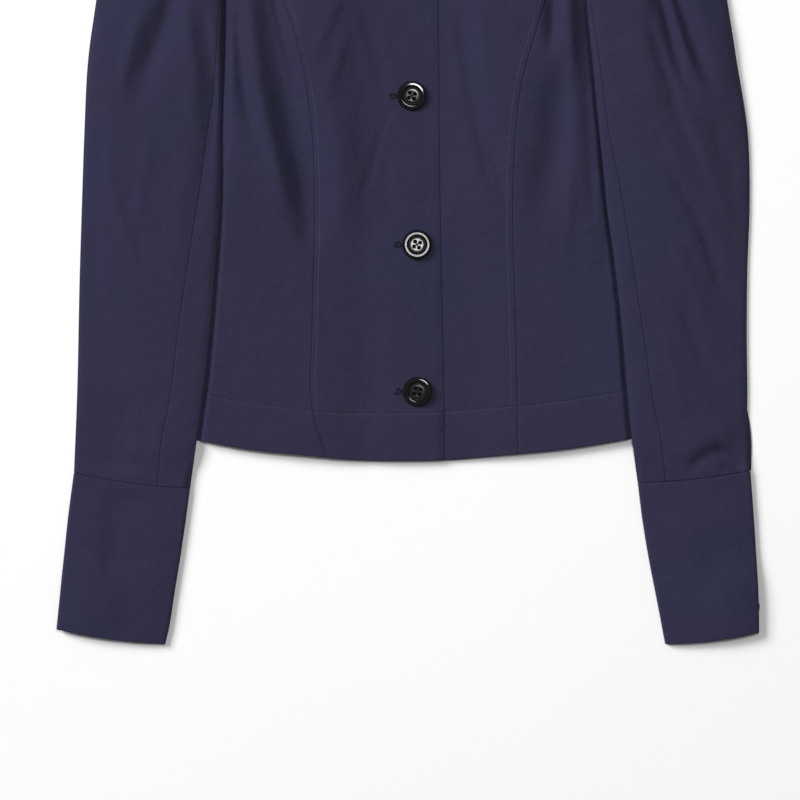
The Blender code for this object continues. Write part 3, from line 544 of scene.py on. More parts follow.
sleeves = dict(
    wall=0.8, hollow=0.5, spring=0.7,       # spring lifts the sleeve a little off the body
    stations=170, upperColumns=46, innerStrip=6, underColumns=34, endSteps=8,
    elbowSeamInset=12, seamFromFold=8, slantAtHead=3, innerLag=0.27,
    headBulge=(15, 8), cuffBow=2.2, hemTop=-138, length=470,
    # ramps up onto the body, from outside its side line: start, width
    ramp=(40, 22), broadRamp=(84, 80),
    # the dome's power, its height at the cuff and how soon it gives way to the crown
    domePower=0.33, cuffDome=2.2, fromCuff=26, lowest=-0.25,
    # depth and width of the groove along the seam and of the dip at the cuff; the groove
    # fades out towards this height; its puckers' depth, reach and wave
    groove=(0.2, 2.4), grooveTop=190, grooveFade=120, cuffDip=(0.12, 2),
    pucker=0.08, puckerReach=6, puckerWave=(0.6, 0.045),
    # height of the upper layer over the lower one, by share of the way up from the cuff
    crown=[(0, 1), (0.25, 2.2), (0.6, 4.6), (0.8, 7.2), (0.9, 6.6), (1, 2.5)],
    right=dict(
        outer=[(-260.9, -204.9), (-258.6, -148.4), (-256.3, -47), (-254.6, 7.6), (-252.7, 62),
               (-249.8, 117), (-243.5, 163.6), (-238, 202), (-232, 242),
               (-224, 270), (-211, 286), (-192, 291)],
        seam=[(-195.5, -214), (-192, -179.6), (-185.8, -148.4), (-180.2, -101.6),
              (-172.7, -47), (-164.8, 7.6), (-158.2, 62), (-150.3, 117), (-149.6, 160),
              (-149.2, 184)],
        inner=[(-170.2, -217.1), (-164.7, -179.6), (-160.3, -148.4), (-155, -101.6),
               (-150.5, -47), (-146.8, 7.6), (-146.2, 62), (-145, 117), (-144.6, 160),
               (-144.2, 184)],
        folds=[
            # deep trough from the sleeve head
            ([(-182, 203), (-183, 171), (-186, 156), (-194, 134), (-201, 114), (-208, 95),
              (-214, 76), (-219, 58)], 10, 12, -6, 0.05, 0.5),
            # ridges each side of it
            ([(-207, 160), (-211, 144), (-216, 125), (-222, 101), (-226, 82)],
             5, 5, 1.5, 0.2, 0.4),
            ([(-178, 170), (-180, 155), (-188, 128), (-195, 100), (-198, 79)],
             4, 5, 0.6, 0.2, 0.4),
            # ridge and trough nearer the seam
            ([(-177, 176), (-173, 150), (-169, 125), (-167, 97), (-168, 74), (-171, 47)],
             6, 6.2, 1.7, 0.2, 0.4),
            ([(-163, 179), (-160, 156), (-155, 125), (-152, 100), (-152, 78), (-155, 50),
              (-162, 0), (-168, -40)], 8, 3.9, -1.8, 0.2, 0.5),
            # faint lines lower down
            ([(-235, 66), (-234, 47), (-232, 23), (-226, 0), (-219, -24), (-214, -41)],
             3.9, 3.9, 0.9, 0.3, 0.4),
            ([(-196, 72), (-203, 44), (-209, 12), (-213, -26)], 5.2, 6.8, 0.9, 0.3, 0.4),
            ([(-222, 40), (-217, 10), (-208, -30), (-204, -70)], 6, 6, -0.7, 0.3, 0.4),
            ([(-246, 20), (-246, -20), (-242, -70), (-238, -110)], 6, 7, -0.7, 0.3, 0.4),
            ([(-169, 62), (-172, 31), (-177, -4), (-183, -47), (-187, -86)],
             9.4, 7.8, 0.8, 0.3, 0.4),
            # low place over the cuff
            ([(-228, -130), (-228, -170), (-230, -205)], 16, 25, -3, 0.5, 0.1),
            # gathers at the head, out of the photo
            ([(-221, 268), (-219, 240), (-222, 206), (-226, 165)], 6, 5, -3, 0.15, 0.5),
            ([(-206, 280), (-203, 255), (-203, 228)], 5, 4, -2.4, 0.15, 0.5),
            ([(-236, 236), (-238, 212), (-240, 186)], 4.5, 4.5, -1.8, 0.15, 0.5),
            ([(-176, 252), (-178, 228), (-181, 205)], 4.5, 4.5, -2, 0.15, 0.5),
        ]),
    left=dict(
        outer=[(266.4, -203.2), (265.3, -180), (264.6, -160), (264.8, -148.4), (264.3, -101.6),
               (264.8, -47), (266.6, 8), (265.1, 60), (256.3, 117), (248.9, 163.6),
               (242, 202), (235, 242), (226, 270), (212, 286), (192, 291)],
        seam=[(200.9, -210.8), (197.1, -179.6), (190.9, -148.4), (184.2, -101.6), (176.2, -47),
              (167.7, 7.6), (157.5, 62), (148.4, 117), (144.4, 160), (143.6, 184)],
        inner=[(179.1, -212.4), (174.4, -179.6), (171.2, -148.4), (167.5, -101.6), (161.5, -47),
               (153.9, 7.6), (148.6, 62), (143.4, 117), (139.4, 160), (138.6, 184)],
        folds=[
            # two narrow troughs from the sleeve head, with a ridge between
            ([(190, 199), (195, 175), (199, 160), (206, 134), (214, 107), (221, 92), (226, 82)],
             9, 2.6, -6.5, 0.05, 0.5),
            ([(203, 199), (207, 175), (212, 161), (220, 140), (230, 113), (239, 93), (245, 81)],
             8.5, 4.5, -7, 0.05, 0.5),
            ([(201, 175), (205, 160), (213, 134), (223, 107), (231, 90)],
             2.6, 2.6, 1.5, 0.2, 0.4),
            # long shallow trough inside them, with ridges each side
            ([(183, 164), (189, 140), (196, 120), (205, 93), (211, 69), (226, 40), (238, 14)],
             5, 5, -1.6, 0.2, 0.35),
            ([(192, 165), (197, 140), (204, 112), (216, 84), (221, 74)],
             3.5, 3.5, 1.2, 0.3, 0.4),
            ([(181, 148), (185, 117), (190, 89), (193, 66)], 17.2, 6.2, 1.6, 0.3, 0.4),
            # slanting lines below
            ([(187, 76), (205, 47), (217, 20), (223, 4)], 3.1, 3.9, 0.8, 0.3, 0.4),
            ([(203, 35), (210, 21), (221, 1), (231, -21), (238, -42), (243, -64), (246, -84)],
             4.8, 6, -1.9, 0.2, 0.4),
            ([(209, -66), (220, -94), (231, -120), (239, -146)], 5, 6, -1.2, 0.3, 0.4),
            ([(204, -20), (216, -48), (229, -78), (236, -104)], 4.5, 5.5, 0.9, 0.3, 0.4),
            ([(196, -92), (205, -120), (212, -146), (216, -170)], 4.5, 5, 0.7, 0.3, 0.4),
            ([(215, 76), (225, 54), (237, 22), (249, -9), (254, -24)], 3.9, 4.7, 0.9, 0.3, 0.4),
            ([(232, 76), (243, 50), (256, 19), (260, 4)], 5.5, 5.5, -1.1, 0.3, 0.4),
            # crescent over the cuff, under a low bulge
            ([(215, -207), (228, -194), (240, -188), (253, -194), (264, -205)],
             4, 5, -1.9, 0.25, 0.15),
            ([(225, -207), (233, -199), (243, -200)], 5, 4, 0.7, 0.3, 0.3),
            ([(237, -186), (245, -190), (253, -196), (261, -203)], 2.4, 2.4, -2.4, 0.3, 0.1),
            ([(240, -203), (250, -203), (262, -206)], 4, 4, -1.6, 0.3, 0.1),
            ([(208, -197), (223, -182), (240, -175), (259, -182)], 10, 10, 1.8, 0.3, 0.3),
            # gathers at the head, out of the photo
            ([(222, 268), (219, 240), (222, 208), (228, 170)], 5.5, 5, -2.6, 0.15, 0.5),
            ([(206, 280), (204, 254), (206, 226)], 4.5, 4.5, -2.6, 0.15, 0.5),
            ([(236, 238), (239, 212), (243, 184)], 4.5, 4.5, -1.7, 0.15, 0.5),
            ([(174, 250), (176, 226), (181, 203)], 4.5, 4.5, -2.2, 0.15, 0.5),
        ]),
)

cuffs = dict(
    stations=52, columns=46, underColumns=36, edgeColumns=7, endSteps=8, length=121,
    slit=0.8, slitInset=18, bow=2.2, bumpHeight=2.9, bumpRadius=12, bumpSlope=36, rim=0.2,
    # the crown's height, its share at the sleeve's end, the rest, and where it is full
    crown=2.4, crownShares=(0.42, 0.58), crownLength=40,
    # the dip at the sleeve's end: depth, width; its puckers' depth, reach and rate
    dip=(0.12, 2), pucker=0.09, puckerReach=6, puckerRate=0.75, wavesShare=0.7,
    right=dict(
        outer=[(-274.2, -327.1), (-271.8, -304), (-268.9, -273.2), (-265.7, -242),
               (-260.9, -205.2)],
        inner=[(-189.5, -338.6), (-187.1, -328.6), (-181.9, -296.6), (-175.7, -257.6),
               (-170.2, -217.4)],
        button=(-262.8, -309),
        folds=[([(-228, -214), (-229, -260), (-232, -300)], 10, 26, -2.6, 0.2, 0.4)]),
    left=dict(
        outer=[(273.6, -329.6), (273.2, -304), (271.8, -273.2), (269.9, -242),
               (267, -203.5)],
        inner=[(200.5, -338.8), (194, -304.4), (187.6, -271.7), (182.4, -239.7),
               (179.1, -212.7)],
        button=(265.4, -309.9),
        folds=[([(214, -222), (217, -262), (222, -300)], 10, 8, 0.5, 0.3, 0.4)]),
)


def sideX(side, y):
    heights, right, left = zip(*sideLine)
    return through(heights, right if side == "right" else left, y)


def bodyLift(x, y):
    # a little ease on both sides of the buttons, none by the lapels, then the chest's plateau
    # times its soft borders, the folds, and the ditch beside each sleeve
    rise = np.zeros(np.shape(x))
    for low, high, lowBorder, highBorder in body["chests"]:
        rise += eased((x - low) / lowBorder) * eased((high - x) / highBorder)
    low, high, lowBorder, highBorder = body["chestHeights"]
    rise = rise * eased((y - low) / lowBorder) * eased((high - y) / highBorder)
    folds = foldHeight(x, y, bodyFolds)
    ease = body["ease"]
    loose = (ease["middle"] + ease["onRight"] * eased((ease["left"] - x) / ease["border"])
             + ease["onLeft"] * eased((x - ease["right"]) / ease["border"]))
    loose = loose * (1.0 - eased((y - ease["top"]) / ease["topBorder"]))
    lift = loose + body["chestRise"] * rise + folds * np.clip(0.4 + rise * 1.4, 0.0, 1.0)
    for side, way in inward.items():
        own = body[side]
        inner = np.asarray(sleeves[side]["inner"])
        edge = through(inner[:, 1], inner[:, 0], np.clip(y, inner[0, 1], inner[-1, 1]))
        heights, gaps, steps = zip(*own["ditch"])
        inside = way * (x - edge) - through(heights, gaps, y)
        step = through(heights, steps, y)
        lift = lift * eased(inside / body["ditchRise"]) * (
            step + (1.0 - step) * eased(inside / own["edgeSlope"]))
    soft = ripple(x, y, clothWaves) + foldHeight(x, y, hemFolds)
    return np.maximum(lift + soft * body["wavesShare"], body["lowest"])


def upSeam(points):
    # points up a seam: an even run through the hem, then even shares of the rest
    line, length = smoothLine(points)
    depth = cloth["hemDepth"]
    stitches = depth + np.array([-1.4, -0.8, -0.4, 0.0, 0.4, 0.8, 1.4, 2.6])
    at = np.concatenate([[0.0, cloth["firstColumn"]],
                         np.linspace(3.6, depth - 2.6, body["hemRows"]), stitches,
                         np.linspace(stitches[-1], length[-1], body["bodyRows"] + 1)[1:]])
    return pointsAt(line, length, at), at


def onHem(grid):
    # settle the lowest rows on the true hem line, fading out upward
    line = np.asarray(body["hemLine"])
    miss = through(line[:, 0], line[:, 1], grid[0, :, 0]) - grid[0, :, 1]
    above = grid[..., 1] - grid[:1, :, 1]
    grid[..., 1] += miss[None] * (1.0 - eased(above / body["hemSettle"]))
    return grid


def panelHeight(grid, run, fromSeams, lap, thin):
    # underside: one layer up, the lap, the lift. The wall is thicker in the hem, and it dips
    # along the hem's stitches and towards each seam, with puckers that deepen up the body
    x, y = grid[..., 0], grid[..., 1]
    slope = cloth["hemSlope"]
    inHem = 1.0 - eased((run - cloth["hemDepth"] + slope / 2) / slope)
    under = cloth["layer"] + lap + bodyLift(x, y)
    thickness = cloth["wall"] + (cloth["hem"] - cloth["wall"]) * inHem[:, None]
    thickness = thickness * thin * np.ones(x.shape)
    fromStitches = (run - cloth["hemDepth"])[:, None]
    pucker = body["hemPucker"] * np.exp(-np.abs(fromStitches) / body["hemPuckerReach"])
    dip = bell(fromStitches, *body["hemDip"]) + pucker * unevenWave(x, *body["hemPuckerWave"])
    low, more = body["seamPucker"]
    start, length = body["seamPuckerRise"]
    for away in fromSeams:
        dip = dip + bell(away, *body["seamDip"])
        deep = (low + more * eased((y - start) / length)) * np.exp(
            -away / body["seamPuckerReach"])
        dip = dip + deep * unevenWave(y, *body["seamPuckerWave"],
                                      away * body["seamPuckerSlant"])
    return under + thickness / 2 - dip, thickness


def bodyPanel(name, grid, run, shares, width, seams, lap=0.0, thin=1.0):
    # seams names the ends (0 the low column, 1 the high one) that are sewn to a neighbour
    grid = onHem(grid)
    away = [(shares if end == 0 else 1.0 - shares)[None, :] * width[:, None] for end in seams]
    height, thickness = panelHeight(grid, run, away, lap, thin)
    addCloth(name, np.dstack([grid, height]), thickness, grain=grid, run=run, shares=shares,
             width=width)


def addFronts(side):
    own = body[side]
    way = inward[side]
    shift = np.array([way * cloth["seamGap"] / 2, 0.0])
    princess, run = upSeam(own["princess"])
    heights = np.linspace(sideLine[0][0], body["underarm"], 12)
    sideSeam, _ = upSeam([(sideX(side, y), y) for y in heights])
    first, second = sideSeam, princess - shift
    if side == "left":
        first, second = second, first
    width = np.linalg.norm(second - first, axis=1)
    count = int(width.mean() / body["sidePitch"])
    shares = withEnds(count, width.mean())
    bodyPanel(side + "_side_front", between(first, second, shares), run, shares, width, (0, 1))

    above = np.arange(1, body["upperRows"] + 1) / body["upperRows"]
    armhole = along(own["armhole"], above)
    seam = np.vstack([princess, armhole]) + shift
    edgeBelow, _ = upSeam(own["frontEdge"])
    edgeAbove = along([own["frontEdge"][-1], own["neck"]], above)
    edge = np.vstack([edgeBelow, edgeAbove])
    fullRun = np.concatenate([run, run[-1] + above * body["upperLength"]])
    width = np.linalg.norm(edge - seam, axis=1)
    usual = width[:body["lowerRows"]].mean()
    shares = withEnds(int(usual / body["columnPitch"]), usual)
    if side == "right":
        fromEdge = (1.0 - shares)[None, :] * width[:, None]
        narrow = np.concatenate([np.ones(len(run)), 1.0 - body["lapNarrowing"] * above])
        narrow = narrow[:, None]
        overHem = 1.0 - eased((fullRun - cloth["hemDepth"]) / body["lapRiseOver"])
        lap = (cloth["layer"] + body["lapRise"] * overHem)[:, None] * (
            1.0 - eased((fromEdge - body["lapTo"] * narrow)
                        / ((body["lapFrom"] - body["lapTo"]) * narrow)))
        lap = lap - body["lapDrop"] * (1.0 - eased(fromEdge / body["lapDropWidth"]))
        thin = 1.0 - ((body["edgeThin"] + body["hemEdgeThin"] * overHem[:, None])
                      * (1.0 - eased(fromEdge / body["edgeWidth"])))
        bodyPanel("right_front", between(seam, edge, shares), fullRun, shares, width, (0,),
                  lap, thin)
    else:
        drop = body["underDrop"]
        fromEdge = shares[None, :] * width[:, None]
        under = -drop["depth"] * (1.0 - eased((fromEdge - drop["start"]) / drop["slope"]))
        bodyPanel("left_front", between(edge, seam, shares), fullRun, shares, width, (1,),
                  under)


def addBack():
    # x runs between the side lines at each height, y from the hem to the shoulders and neck
    shares = np.linspace(0.0, 1.0, body["backColumns"])
    rows = withEnds(body["backRows"], body["backLength"])
    line = np.asarray(body["hemLine"])
    shoulder, _, shoulderX = sideLine[-1]
    neck = np.asarray(body["backNeck"])
    neckX, neckY = neck[-1]
    acrossTop = -shoulderX + 2 * shoulderX * shares
    slope = (shoulderX - np.abs(acrossTop)) / (shoulderX - neckX)
    top = np.where(np.abs(acrossTop) > neckX, shoulder + (neckY - shoulder) * slope,
                   through(neck[:, 0], neck[:, 1], acrossTop))
    lowX = line[0, 0] + (line[-1, 0] - line[0, 0]) * shares
    low = through(line[:, 0], line[:, 1], lowX) + body["backHemRise"]
    y = low[None] + (top - low)[None] * rows[:, None]
    bounded = np.minimum(y, shoulder)
    right, left = sideX("right", bounded), sideX("left", bounded)
    x = right + (left - right) * shares[None]
    mid = np.dstack([x, y, np.full(x.shape, cloth["wall"] / 2)])
    addCloth("back_body", mid, cloth["wall"], grain=np.dstack([x, y]))


addBack()
for side in inward:
    addFronts(side)
print("body panels made")


# sleeves and cuffs

def underSleeve(side, x, y, ramp=sleeves["ramp"]):
    # what the sleeve rests on: the floor, then a ramp up onto the body's two layers, and a
    # little more over its thicker hem
    start, width = ramp
    inside = (x - sideX(side, y)) * inward[side]
    inHem = 1.0 - eased((y - sleeves["hemTop"]) / 24.0)
    layers = 2 * cloth["layer"] + sleeves["spring"] + (cloth["hem"] - cloth["wall"]) * inHem
    return layers * eased((inside + start) / width) * eased((y + 214.0) / 30.0)


def tubeLoop(outer, inner, share, turn, radius, bow, floor, lift):
    # one point for each share across; turn is -pi/2 on the lower layer, pi/2 on the upper one.
    # Height: the floor below, then the half circle at a fold, then the lift of the upper layer
    flat = outer[:, None] + (inner - outer)[:, None] * share[..., None]
    flat = flat + bow[:, None] * (4.0 * share * (1.0 - share))[..., None]
    base = floor(flat[..., 0], flat[..., 1])
    raised = np.where(turn > 1.5, lift(flat, share), 0.0)
    return np.dstack([flat, base + radius + radius * np.sin(turn) + raised])


def loopShares(width, radius, wall, stretches, ends):
    # shares across and turns for a run of pieces: ("low" or "high", from, to, count) or an end
    shares, turns = [], []
    for kind, *rest in stretches:
        if kind == "outerEnd" or kind == "innerEnd":
            turn = np.linspace(-math.pi / 2, math.pi / 2, ends + 1)
            across = (radius + wall / 2 - radius * np.cos(turn))[None] / width[:, None]
            if kind == "innerEnd":
                turn, across = turn[::-1], 1.0 - across[:, ::-1]
        else:
            start, stop, count = rest
            start = np.broadcast_to(start, width.shape)
            stop = np.broadcast_to(stop, width.shape)
            steps = np.linspace(0.0, 1.0, count)
            across = start[:, None] + (stop - start)[:, None] * steps[None]
            turn = np.full(count, math.pi / 2 if kind == "high" else -math.pi / 2)
        shares.append(across)
        turns.append(turn)
    return np.concatenate(shares, axis=1), np.concatenate(turns)[None]


def addSleeve(side):
    own = sleeves[side]
    wall = sleeves["wall"]
    up = withEnds(sleeves["stations"], sleeves["length"])
    innerUp = up * (1.0 + sleeves["innerLag"] * (1.0 - up))
    toSeam = np.array([0.0, -0.2]) * (1.0 - eased(up / 0.02))[:, None]
    outer = along(own["outer"], up) + toSeam
    seam = along(own["seam"], innerUp) + toSeam
    inner = along(own["inner"], innerUp) + toSeam
    width = np.linalg.norm(inner - outer, axis=1)
    toward = (inner - outer) / width[:, None]
    radius = (wall + sleeves["hollow"]) / 2
    reach = (radius + wall / 2) / width
    way = inward[side]
    head = eased((up - 0.6) / 0.4)[:, None] * (np.array(sleeves["headBulge"]) * [way, 1.0])
    bow = head - np.array([0.0, sleeves["cuffBow"]]) * (1.0 - eased(up / 0.15))[:, None]
    crown = through(*zip(*sleeves["crown"]), up)[:, None]
    gap = cloth["seamGap"] / 2 * (1.0 + sleeves["slantAtHead"] * up) / width
    seamShare = np.minimum(((seam - outer) * toward).sum(axis=1),
                           width - sleeves["seamFromFold"]) / width
    elbow = sleeves["elbowSeamInset"] / width
    step = cloth["firstColumn"] / width

    run = runningLength(outer)
    fromCuff = eased(run / sleeves["fromCuff"])[:, None]
    seamDip = bell(run, *sleeves["cuffDip"])[:, None]

    def lift(flat, share):
        # a flat dome over a wider ramp than the lower layer's, level with the cuff at its end
        x, y = flat[..., 0], flat[..., 1]
        across = np.clip((share - reach[:, None]) / (1 - 2 * reach[:, None]), 0, 1)
        dome = np.sin(math.pi * across) ** sleeves["domePower"]
        broad = underSleeve(side, x, y, sleeves["broadRamp"]) - underSleeve(side, x, y)
        folds = foldHeight(x, y, own["folds"])
        soft = ripple(x * way, y, clothWaves)
        away = np.abs(share - seamShare[:, None]) * width[:, None]
        fade = eased((sleeves["grooveTop"] - y) / sleeves["grooveFade"])
        pucker = sleeves["pucker"] * np.exp(-away / sleeves["puckerReach"])
        groove = (bell(away, *sleeves["groove"]) * fade
                  + pucker * unevenWave(y, *sleeves["puckerWave"]))
        raised = (crown * dome + broad * dome) * fromCuff
        raised += (sleeves["cuffDome"] + dome) * np.minimum(1.0, 3 * dome) * (1 - fromCuff)
        raised += (folds + soft) * np.minimum(1.0, 1.8 * dome)
        raised -= (groove + seamDip) * np.minimum(1, 4 * dome)
        return np.maximum(raised, sleeves["lowest"])

    def floor(x, y):
        return underSleeve(side, x, y) + wall / 2

    before, after, past = seamShare - gap, seamShare + gap, elbow + gap
    parts = dict(
        _upper_sleeve=[("low", elbow - gap, elbow - gap - step, 2), ("outerEnd",),
                       ("high", reach + 1.0 / width, before - step, sleeves["upperColumns"]),
                       ("high", before, before, 1)],
        _under_sleeve=[("high", after, after, 1),
                       ("high", after + step, 1 - reach - 1.0 / width, sleeves["innerStrip"]),
                       ("innerEnd",),
                       ("low", 1 - reach - 2.0 / width, past + step, sleeves["underColumns"]),
                       ("low", past, past, 1)])
    for ending, stretches in parts.items():
        share, turn = loopShares(width, radius, wall, stretches, sleeves["endSteps"])
        mid = tubeLoop(outer, inner, share, turn, radius, bow, floor, lift)
        addCloth(side + ending, mid, wall, flip=side == "left")


def cuffFloor(side, x, y):
    # flat, but for the soft bump over the button beneath: a flat top, then an eased slope
    centre = cuffs[side]["button"]
    away = np.hypot(x - centre[0], y - centre[1]) - cuffs["bumpRadius"]
    return cuffs["bumpHeight"] * (1.0 - eased(away / cuffs["bumpSlope"]))


def addCuff(side):
    own = cuffs[side]
    wall = cloth["cuff"]
    up = withEnds(cuffs["stations"], cuffs["length"])
    outer = along(own["outer"], up)
    inner = along(own["inner"], up)
    width = np.linalg.norm(inner - outer, axis=1)
    radius = (wall + cloth["hollow"]) / 2
    reach = (radius + wall / 2) / width
    bow = np.broadcast_to(np.array([0.0, -cuffs["bow"]]), outer.shape)
    way = inward[side]
    length = runningLength(outer)
    fromTop = length[-1] - length

    def lift(flat, share):
        x, y = flat[..., 0], flat[..., 1]
        folds = foldHeight(x, y, own["folds"])
        soft = ripple(x * way, y, clothWaves) * cuffs["wavesShare"]
        dome = np.sin(math.pi * share)
        dip = bell(fromTop, *cuffs["dip"])[:, None]
        pucker = (cuffs["pucker"] * np.exp(-fromTop / cuffs["puckerReach"]))[:, None]
        pucker = pucker * np.sin(x * cuffs["puckerRate"])
        low, more = cuffs["crownShares"]
        crown = cuffs["crown"] * (low + more * eased(fromTop / cuffs["crownLength"]))[:, None]
        return crown * dome + (folds + soft - dip + pucker) * np.minimum(1, 2 * dome)

    def floor(x, y):
        return cuffFloor(side, x, y) + wall / 2

    start = (cuffs["slitInset"] - cuffs["slit"] / 2) / width
    stop = (cuffs["slitInset"] + cuffs["slit"] / 2) / width
    stretches = [("low", start, reach + 2.0 / width, cuffs["edgeColumns"]), ("outerEnd",),
                 ("high", reach + 1.2 / width, 1 - reach - 1.2 / width, cuffs["columns"]),
                 ("innerEnd",), ("low", 1 - reach - 2.0 / width, stop, cuffs["underColumns"])]
    share, turn = loopShares(width, radius, wall, stretches, cuffs["endSteps"])
    mid = tubeLoop(outer, inner, share, turn, radius, bow, floor, lift)
    addCloth(side + "_cuff", mid, wall, rim=cuffs["rim"], flip=side == "left",
             fromTop=fromTop)


for side in inward:
    addSleeve(side)
    addCuff(side)
print("sleeves and cuffs made")


# lapels and collar

lapels = dict(
    rows=60, columns=26, rollSteps=7, rollRadius=1.5, length=90, width=45, rim=0.6,
    crown=0.9, fullCrownWidth=40,
    right=dict(roll=[(22, 225), (-12, 259), (-50, 294.4)],
               edge=[(19.5, 222), (-25, 229), (-68, 243), (-97, 262)],
               low=3.3, high=4.7),
    left=dict(roll=[(9, 247), (32, 273), (50, 294.4)],
              edge=[(11, 244), (40, 240.5), (72, 248), (97, 262)],
              low=3.2, high=3.9),
)
collar = dict(
    neck=[(-50.4, 295), (-66, 311), (-60, 317), (-30, 312.5), (0, 311)],
    middle=[(-72, 280.4), (-84, 302), (-78, 325), (-40, 328), (0, 327)],
    fall=[(-93, 288), (-101, 305), (-94, 327), (-52, 337.6), (0, 338.7)],
    stand=4, standFrom=312, standSlope=26, rows=70, columns=24, length=160, width=30,
    crown=0.9, rim=0.6,
)


def addLapel(side):
    # columns run from the outer edge to the roll line, then a quarter turn down to the front
    own = lapels[side]
    shares = withEnds(lapels["rows"], lapels["length"], cloth["smallColumn"])
    roll, edge = along(own["roll"], shares), along(own["edge"], shares)
    width = np.linalg.norm(roll - edge, axis=1)
    across = withEnds(lapels["columns"], lapels["width"], cloth["smallColumn"])[:-1]
    toRoll = (roll - edge) / np.maximum(width, 1e-3)[:, None]
    radius = np.minimum(lapels["rollRadius"], width * 0.2)
    bendStart = roll - toRoll * radius[:, None]
    flat = between(edge, bendStart, across)
    climb = own["low"] + (own["high"] - own["low"]) * eased(across * 1.1)
    full = np.minimum(1.0, width / lapels["fullCrownWidth"])[:, None]
    crown = lapels["crown"] * np.sin(math.pi * across) * full
    height = climb[None] + cloth["lapel"] / 2 + crown
    turn = np.linspace(0.0, math.pi / 2, lapels["rollSteps"])
    out = radius[:, None] * np.sin(turn)[None]
    bend = bendStart[:, None] + toRoll[:, None] * out[..., None]
    top = own["high"] + cloth["lapel"] / 2
    drop = top - radius[:, None] * (1.0 - np.cos(turn)[None])
    mid = np.concatenate([np.dstack([flat, height]), np.dstack([bend, drop])], axis=1)
    addCloth(side + "_lapel", mid, cloth["lapel"], rim=lapels["rim"], flip=side == "left")


def addCollar():
    shares = withEnds(collar["rows"], collar["length"], cloth["smallColumn"])
    lines = [along(collar[key], shares) for key in ("fall", "middle", "neck")]
    across = withEnds(collar["columns"], collar["width"], cloth["smallColumn"])
    # a quadratic across through the three lines
    a, b, c = [line[:, None] for line in lines]
    t = across[None, :, None]
    half = a * (1 - t) * (1 - 2 * t) + b * 4 * t * (1 - t) + c * t * (2 * t - 1)
    other = half[::-1][1:] * [-1.0, 1.0]
    grid = np.concatenate([half, other])
    x, y = grid[..., 0], grid[..., 1]
    # three layers lie under its right end, two under its left
    base = cloth["layer"] * (3.0 - eased((x + 45.0) / 90.0))
    stand = collar["stand"] * eased((y - collar["standFrom"]) / collar["standSlope"])
    crown = collar["crown"] * np.sin(math.pi * across)[None]
    mid = np.dstack([grid, base + stand + cloth["lapel"] / 2 + crown])
    addCloth("collar", mid, cloth["lapel"], rim=collar["rim"])


for side in inward:
    addLapel(side)
addCollar()
print("lapels and collar made")


# stitching

# where the princess stitches start above the hem's, and the cuff stitches below the seam;
# columns of the cuff's grid left free at each end
sewing = dict(aboveHem=1.0, belowSeam=1.3, cuffEnds=3)


def onPanel(panel, rows, share):
    # the top surface and its normals at each row, at a share of the way across
    shares = panel["shares"]
    place = np.clip(np.searchsorted(shares, share) - 1, 0, len(shares) - 2)
    t = ((share - shares[place]) / (shares[place + 1] - shares[place]))[:, None]
    return [values[rows, place] * (1 - t) + values[rows, place + 1] * t
            for values in (panel["top"], panel["normal"])]


def sew(piece, panel):
    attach(piece, "root")
    panels[panel].setdefault("sewn", []).append(piece)


def addStitching():
    for side in inward:
        panel = panels[side + "_front"]
        offset = body[side]["topstitch"]
        start = cloth["hemDepth"] + sewing["aboveHem"]
        rows = np.arange(np.searchsorted(panel["run"], start),
                         len(panel["run"]) - body["upperRows"] - 2)
        share = offset / panel["width"][rows]
        line, ups = onPanel(panel, rows, share if side == "right" else 1.0 - share)
        sew(stitchLine(side + "_princess_stitches", line, ups, threadPaint), side + "_front")
        for name in (side + "_front", side + "_side_front"):
            panel = panels[name]
            row = np.searchsorted(panel["run"], cloth["hemDepth"])
            t = ((cloth["hemDepth"] - panel["run"][row - 1])
                 / (panel["run"][row] - panel["run"][row - 1]))
            line, ups = [values[row - 1] * (1 - t) + values[row] * t
                         for values in (panel["top"], panel["normal"])]
            sew(stitchLine(name + "_hem_stitches", line[1:-1], ups[1:-1], threadPaint), name)
        panel = panels[side + "_cuff"]
        row = np.argmin(np.abs(panel["fromTop"] - sewing["belowSeam"]))
        free = slice(sewing["cuffEnds"], -sewing["cuffEnds"])
        line, ups = panel["top"][row, free], panel["normal"][row, free]
        sew(stitchLine(side + "_cuff_stitches", line, ups, cuffThreadPaint), side + "_cuff")


addStitching()
print("stitching made")


# buttons and buttonholes

buttons = dict(
    front=dict(radius=11.5, height=3.3, hole=1.3, spread=3.9, base=4.9),
    cuff=dict(radius=9.0, height=2.5, hole=0.85, spread=2.5, base=0.0),
    centres=[(7.3, -141.9), (6.9, -27.4), (2.9, 88.5), (2.5, 204.0)],
    tilts=[(0.034, 0.010), (-0.036, -0.052), (0.000, 0.068), (0.02, 0.01)],
    # share of the radius, share of the height, from the top's middle round to the underside's
    profile=[(0.0, 0.62), (0.2, 0.62), (0.42, 0.62), (0.465, 0.605), (0.50, 0.54), (0.55, 0.50),
             (0.60, 0.60), (0.65, 0.86), (0.68, 0.985), (0.70, 1.0), (0.78, 0.997),
             (0.85, 0.98), (0.90, 0.94), (0.95, 0.82), (0.985, 0.62), (1.0, 0.42),
             (0.98, 0.22), (0.90, 0.06), (0.78, 0.0), (0.5, 0.0)],
    steps=150, rings=150, turn=-0.21,
    # the pits' edges start at this share of the hole's radius and end after another; their
    # depth at the edge, and how much more in the middle
    pitEdge=(0.86, 0.26), pitDepth=(1.0, 0.9),
    thread=dict(above=0.32, step=0.3, apart=0.3, reach=1.12, radius=0.17, arch=1.5),
)


